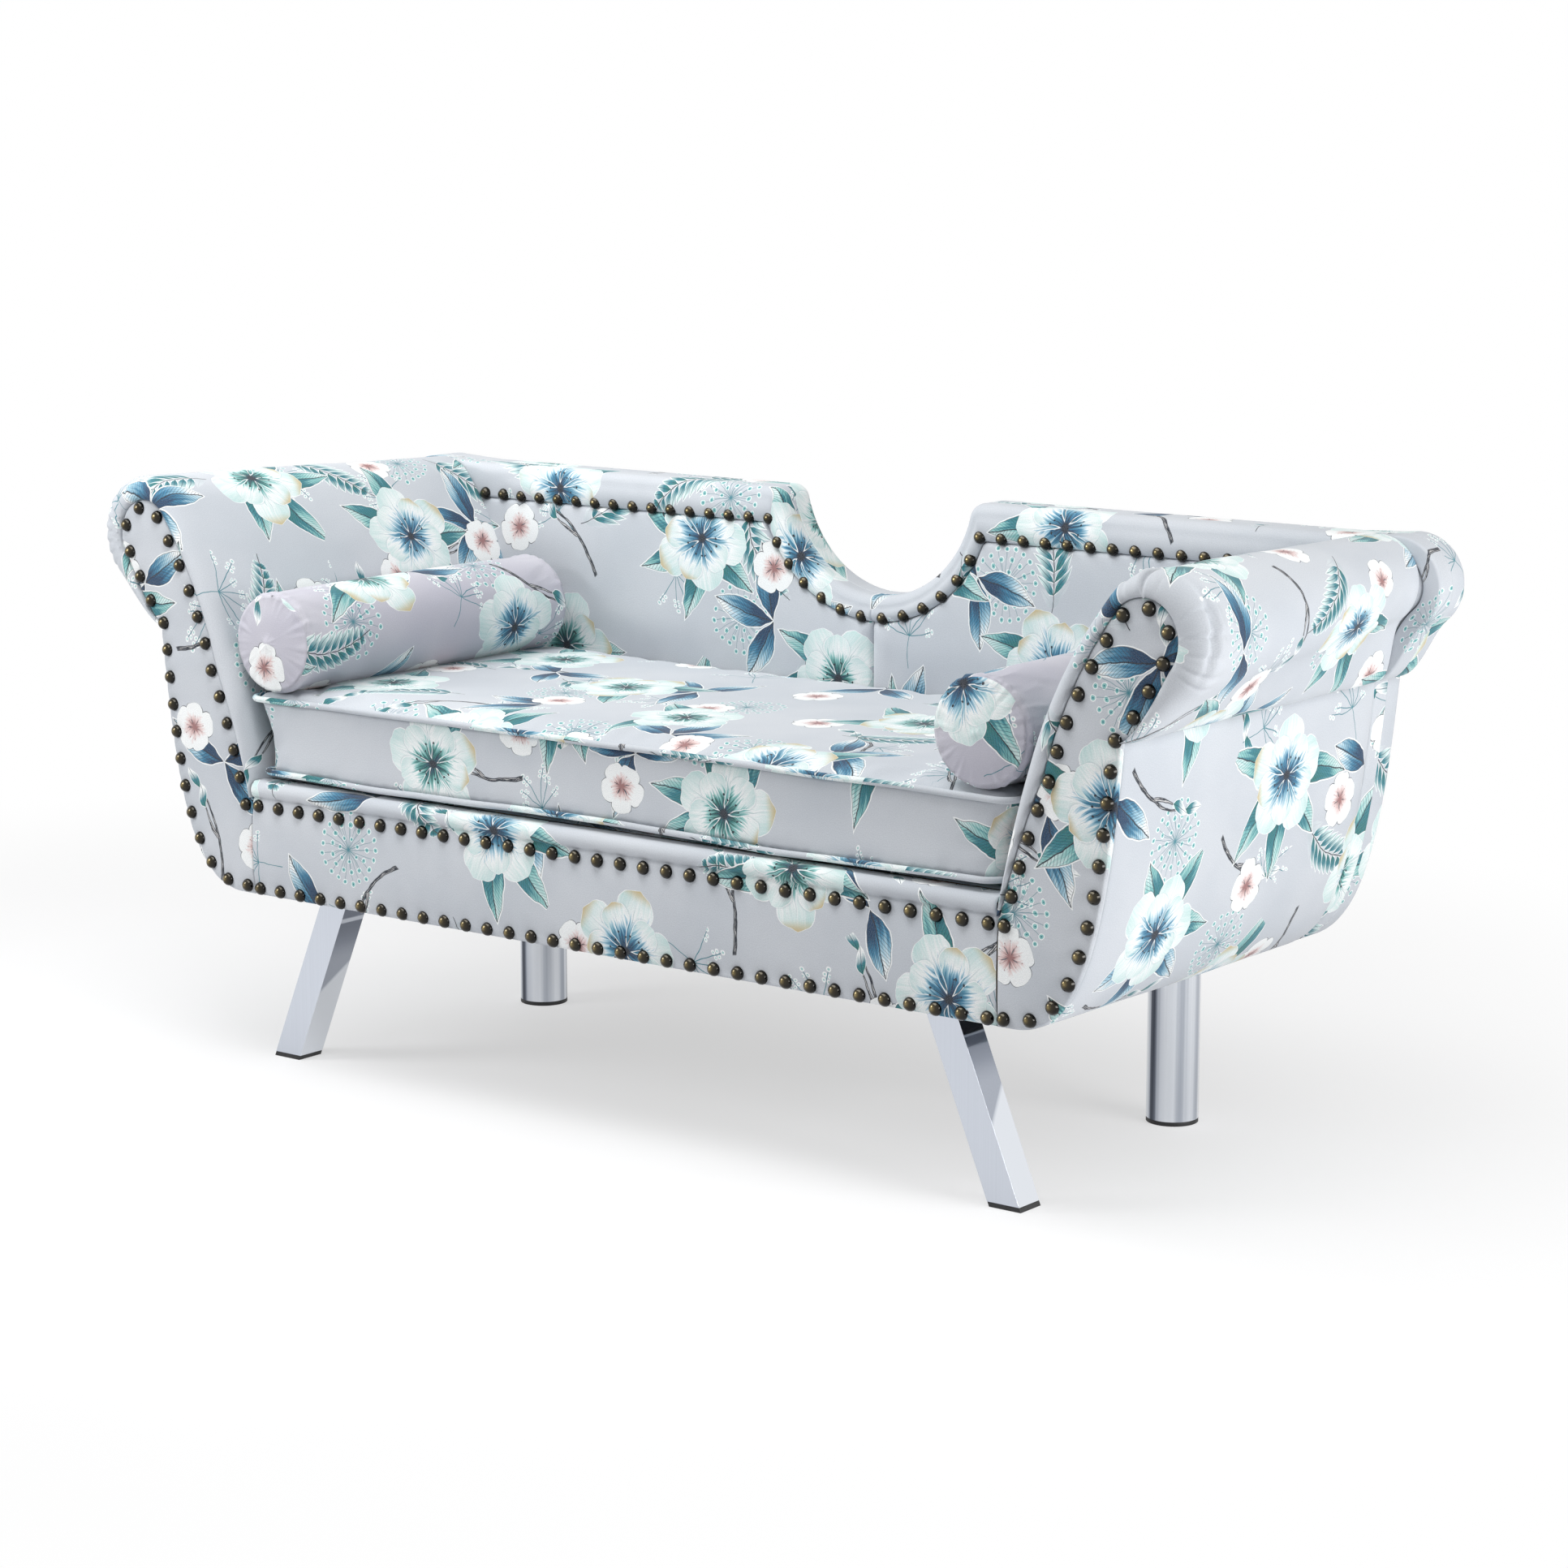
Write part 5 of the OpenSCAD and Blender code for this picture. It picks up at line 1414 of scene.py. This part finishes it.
def run_cloth(piece, held, cap, pressure, frames):
    """Inflates a closed cover with its seams held, and moves no point further than the cap."""
    start = mesh_points(piece.data)
    group = piece.vertex_groups.new(name="seams")
    group.add([int(k) for k in held], 1.0, "REPLACE")
    cloth = piece.modifiers.new("cloth", "CLOTH")
    for key, value in CLOTH_SETTINGS.items():
        setattr(cloth.settings, key, value)
    cloth.settings.uniform_pressure_force = pressure
    cloth.settings.effector_weights.gravity = 0
    cloth.collision_settings.use_collision = False
    scene = bpy.context.scene
    for number in range(1, frames + 1):
        scene.frame_set(number)
    moved = mesh_points(piece.evaluated_get(bpy.context.evaluated_depsgraph_get()).data)
    piece.modifiers.remove(cloth)
    piece.vertex_groups.remove(group)
    scene.frame_set(1)
    shift = moved - start
    size = np.linalg.norm(shift, axis=1, keepdims=True)
    limit = cap * MM
    shift *= limit * np.tanh(size / limit) / np.maximum(size, 1e-9)
    put_points(piece.data, start + shift)


def cushion_cover():
    """Boxed seat cushion: a crowned top, a side band and a flat underside, sewn at the piping."""
    low_hx, high_hx = side_half_x(0) - PIPE_D, side_half_x(1) - PIPE_D
    hy = CUSHION_HY - PIPE_D
    low_z = CUSHION_Z + PIPE_D / 2
    high_z = CUSHION_TOP - PIPE_D / 3
    top_loop = cushion_loop(high_hx, hy, CUSHION_STEP)
    low_loop = top_loop * np.array([(low_hx - CORNER_R) / (high_hx - CORNER_R), 1])
    shell = Shell()
    flat, faces = fill_shape(top_loop, CUSHION_STEP, [CUSHION_STEP * 0.8])
    z = high_z + crown_height(flat[:, 0], flat[:, 1], high_hx, hy)
    z[edge_distance(flat, top_loop) < 0.01] = high_z
    shell.patch(over_seat(flat, z), flat + cut("cushion_top"), faces)
    flat, faces = fill_shape(low_loop, CUSHION_STEP * 1.5, [CUSHION_STEP])
    under = low_z + cushion_lift(flat[:, 0], flat[:, 1])
    shell.patch(over_seat(flat, under), flat + cut("cushion_foot"), [face[::-1] for face in faces])
    rows = []
    run = lengths(closed(top_loop))
    high_gathers, low_gathers = puckers(run, 21, 131), puckers(run, 17, 132)
    for t in shares(CUSHION_SIDES, True):
        near_top = math.exp(-((1 - t) / PUCKER_RUN) ** 2) * (1 - t) * 6
        near_low = math.exp(-(t / PUCKER_RUN) ** 2) * t * 6
        gathers = SEAM_PUCKER * (near_top * high_gathers + near_low * low_gathers)
        loop = inset(closed(low_loop * (1 - t) + top_loop * t), -SIDE_BULGE * math.sin(math.pi * t) + gathers)
        loop[-1] = loop[0]
        foot = low_z + cushion_lift(loop[:, 0], loop[:, 1])
        rows.append(over_seat(loop, foot + (high_z - foot) * t))
    loop = closed(low_loop)
    rows[0][:, 2] = low_z + cushion_lift(loop[:, 0], loop[:, 1])
    rows = np.stack(rows)
    shell.grid(rows, grid_of(-run[None, :], rows[:, :1, 2]) + cut("cushion_side"))
    piece = shell.build("cushion_cloth")
    points = mesh_points(piece.data) / MM
    foot = low_z + cushion_lift(points[:, 0], points[:, 1] - CUSHION_C)
    held = np.where((np.abs(points[:, 2] - high_z) < 0.2) | (points[:, 2] < foot + 0.2))[0]
    run_cloth(piece, held, *CUSHION_RUN)
    return piece


def tube(name, path, radius, sides, offset):
    """Cord of one thickness swept along a closed path of points."""
    ahead = np.roll(path, -1, axis=0) - np.roll(path, 1, axis=0)
    ahead /= np.linalg.norm(ahead, axis=1, keepdims=True)
    out = np.cross(ahead, np.array([0, 0, 1.0]))
    out /= np.linalg.norm(out, axis=1, keepdims=True)
    lift = np.cross(out, ahead)
    turn = np.linspace(0, 2 * np.pi, sides + 1)
    ring = path[:, None, :] + radius * (out[:, None, :] * np.cos(turn)[None, :, None]
                                        + lift[:, None, :] * np.sin(turn)[None, :, None])
    shell = Shell()
    shell.grid(closed(ring), grid_of(lengths(closed(path))[:, None], (turn * radius)[None, :]) + offset)
    return shell.build(name)


def cushion_piping(name, half_x, z, seed):
    loop = cushion_loop(half_x - PIPE_D / 2, CUSHION_HY - PIPE_D / 2, CUSHION_STEP)
    path = over_seat(loop, z)
    if z < CUSHION_Z + CUSHION_H / 2:
        path[:, 2] += cushion_lift(loop[:, 0], loop[:, 1])
    path[:, 2] += ripple(path, 160, seed) * 0.8
    return tube(name, path, PIPE_R, 14, cut("piping"))


finish_piece(cushion_cover(), "cushion_cover", "cushion_core", fill=0.85, body="seat_cushion")
for level, half_x, z, seed in (("top", CUSHION_X, CUSHION_TOP - PIPE_D / 3, 121),
                               ("bottom", side_half_x(0), CUSHION_Z + PIPE_D / 2, 122)):
    finish_piece(cushion_piping("cushion_piping_cloth_" + level, half_x, z, seed), "cushion_piping_" + level,
                 body="seat_cushion")


# Bolsters

N_BOLSTER = 168
END_PUCKER = 0.9
PUCKER_REACH = 5


def gather_height(from_highlight):
    """Height of the gathers at a distance from a bolster's end seam, 1 at most."""
    return from_highlight / PUCKER_REACH * np.exp(1 - from_highlight / PUCKER_REACH)


def round_grid(radius, turn, y):
    """Points round the bolster's axis."""
    x = radius * np.cos(turn)[:, None]
    z = radius * np.sin(turn)[:, None]
    return grid_of(x, y, z)


def bolster_cover(side):
    """Bolster with round, slightly domed ends sewn to its body."""
    r = BOLSTER_R
    y0, y1 = BOLSTER_Y0 + BOLSTER_DOME, BOLSTER_Y1 - BOLSTER_DOME
    turn = np.linspace(0, 2 * np.pi, N_BOLSTER + 1) - np.pi / 2
    edge_steps = np.array([0, 1, 2, 3.5, 5, 7, 9.5, 12.5, 16, 20])
    y = np.concatenate([y0 + edge_steps, np.linspace(y0 + 26, y1 - 26, 62), y1 - edge_steps[::-1]])
    near_end = np.minimum(y - y0, y1 - y)
    radius = r - 2.4 * np.exp(-(near_end / 6) ** 2)
    gathers = puckers(turn * r, 15, 141 + side) * smooth_step(np.abs(turn - np.pi / 2), np.pi, np.pi - 0.2)
    uneven = radius[None, :] + END_PUCKER * gathers[:, None] * gather_height(near_end)[None, :]
    shell = Shell()
    shell.grid(round_grid(uneven, turn, y[None, :]),
               grid_of(y[None, :], (turn * r)[:, None]) + cut("bolster", side))
    for end_y, way in ((y0, -1), (y1, 1)):
        steps = 1 - shares(16, True)
        radii = radius[0] * steps
        rise = BOLSTER_DOME * (1 - steps ** 2.4)
        fade = gather_height(radii[0] - radii)
        depth = end_y + way * (rise + 0.7 * END_PUCKER * gathers[:, None] * fade)
        cap = round_grid(radii[None, :], turn, depth)
        shell.grid(cap, cap[..., [0, 2]] + cut("bolster_end", way) + [0, 500 * side])
    piece = shell.build("bolster_cloth_" + SIDE_NAMES[side])
    points = mesh_points(piece.data) / MM
    around = np.hypot(points[:, 0], points[:, 2])
    at_end = (np.abs(points[:, 1] - y0) < 0.1) | (np.abs(points[:, 1] - y1) < 0.1)
    held = np.where((np.abs(around - radius[0]) < 0.1) & at_end)[0]
    run_cloth(piece, held, *BOLSTER_RUN)
    place = np.array([side * BOLSTER_X, 0, BOLSTER_Z]) * MM
    put_points(piece.data, mesh_points(piece.data) + place)
    return piece


for sign, side_name in SIDE_NAMES.items():
    finish_piece(bolster_cover(sign), "bolster_cover_" + side_name, "bolster_core_" + side_name, fill=0.9,
                 body="bolster_" + side_name, slot="fabric_bolster", material=BOLSTER_PRINT)


# Frame nodes that stay: each material, and the words of the node names that take it

NODE_MATERIALS = (
    (TIMBER, {"blocks", "board", "slats", "posts", "battens", "rail", "stretcher", "frame"}),
    (ZINC, {"screws", "springs", "clips", "bolts", "nuts"}), (CHROME, {"leg"}), (PLASTIC, {"caps"}),
    (DUST_CLOTH, {"dust"}), (ZIP_PLASTIC, {"zip"}))
LEG_BEVEL = 0.7


def soften_edges(node, width):
    """Rounds a rigid node's edges without touching its own mesh."""
    weld = node.modifiers.new("weld", "WELD")
    weld.merge_threshold = 0.01 * MM
    bevel = node.modifiers.new("bevel", "BEVEL")
    bevel.width = width * MM
    bevel.segments = 3
    bevel.limit_method = "ANGLE"
    bevel.angle_limit = math.radians(40)
    bevel.harden_normals = True


for name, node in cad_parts.items():
    finish = next((made for made, words in NODE_MATERIALS if words & set(name.split("_"))), None)
    if finish:
        node.data.materials.clear()
        node.data.materials.append(finish)
    if finish in (CHROME, PLASTIC):
        soften_edges(node, LEG_BEVEL)


# Camera, floor and light

CAMERA_AT = (2.818, -3.5915, 1.2034)
CAMERA_AZIMUTH = 37.7
CAMERA_ELEVATION = 10.45
CAMERA_LENS = 91.24
SENSOR = 36
FLOOR_HALF = 30
FLOOR_CENTRE = (0.38, 0.1, 0)
FLOOR_NEAR = 0.65
FLOOR_FAR = 1.9
FLOOR_WHITE = 0.55
FLOOR_BOUNCE = (226, 226, 228)
PURE_WHITE = (1, 1, 1, 1)
WORLD_LIGHT = 0.27
# Each softbox: place, aim, width and height, power
SOFTBOXES = {
    "top": ((-0.35, -0.6, 2.3), (0, 0.05, 0.5), (2.6, 1.0), 44),
    "right": ((2.7, -0.05, 0.78), (0.6, 0, 0.42), (1.5, 0.9), 40),
    "front_left": ((-1.5, -1.5, 1.2), (-0.3, 0, 0.4), (0.7, 0.7), 16)}


def make_camera():
    camera = add_object("camera", bpy.data.cameras.new("camera"))
    camera.location = CAMERA_AT
    camera.rotation_euler = (math.radians(90 - CAMERA_ELEVATION), 0, math.radians(CAMERA_AZIMUTH))
    camera.data.lens = CAMERA_LENS
    camera.data.sensor_width = SENSOR
    camera.data.sensor_height = SENSOR
    bpy.context.scene.camera = camera


def floor_material():
    """Pale floor. Seen straight or in metal it is mostly white and keeps a soft part of the shadow."""
    s = new_sheet("floor")
    from_highlight = s.size(s.vector("ADD", s.place("Object"), FLOOR_CENTRE))
    far = s.step(from_highlight, FLOOR_NEAR, FLOOR_FAR) * (1 - FLOOR_WHITE) + FLOOR_WHITE
    tone = s.noise(s.place("Object"), 2, 2)
    s.set(colour=s.blend(s.step(tone, 0.3, 0.7), (246, 246, 247), (249, 249, 250)), rough=0.6, specular=0.1)
    white = s.node("ShaderNodeEmission", PURE_WHITE)
    shown_floor = s.node("ShaderNodeMixShader", far, s.tree.nodes["Principled BSDF"].outputs[0],
                         white.outputs[0])
    bounce = s.node("ShaderNodeBsdfDiffuse", linear(FLOOR_BOUNCE))
    pick = s.node("ShaderNodeMixShader", s.seen(), bounce.outputs[0], shown_floor.outputs[0])
    s.feed(s.tree.nodes["Material Output"].inputs[0], pick.outputs[0])
    return s.holder


def make_floor():
    mesh = bpy.data.meshes.new("floor")
    edge = FLOOR_HALF
    corners = [(-edge, -edge, 0), (edge, -edge, 0), (edge, edge, 0), (-edge, edge, 0)]
    mesh.from_pydata(corners, [], [(0, 1, 2, 3)])
    mesh.materials.append(floor_material())
    add_object("floor", mesh)


def make_world():
    """Even white light, and plain white where it is seen straight or in metal."""
    bpy.context.scene.world = bpy.data.worlds.new("studio")
    s = Sheet(bpy.context.scene.world)
    background = s.tree.nodes["Background"]
    s.feed(background.inputs[0], PURE_WHITE)
    s.feed(background.inputs[1], s.span(s.seen(), 0, 1, WORLD_LIGHT, 1))


def softbox(name, place, aim, size, power):
    light = bpy.data.lights.new(name, "AREA")
    light.shape = "RECTANGLE"
    light.size, light.size_y = size
    light.energy = power
    lamp = add_object(name, light)
    lamp.location = place
    lamp.rotation_euler = (Vector(aim) - Vector(place)).to_track_quat("-Z", "Y").to_euler()


make_camera()
make_floor()
make_world()
for name, made in SOFTBOXES.items():
    softbox(name, *made)
bpy.context.scene.view_settings.view_transform = "Standard"
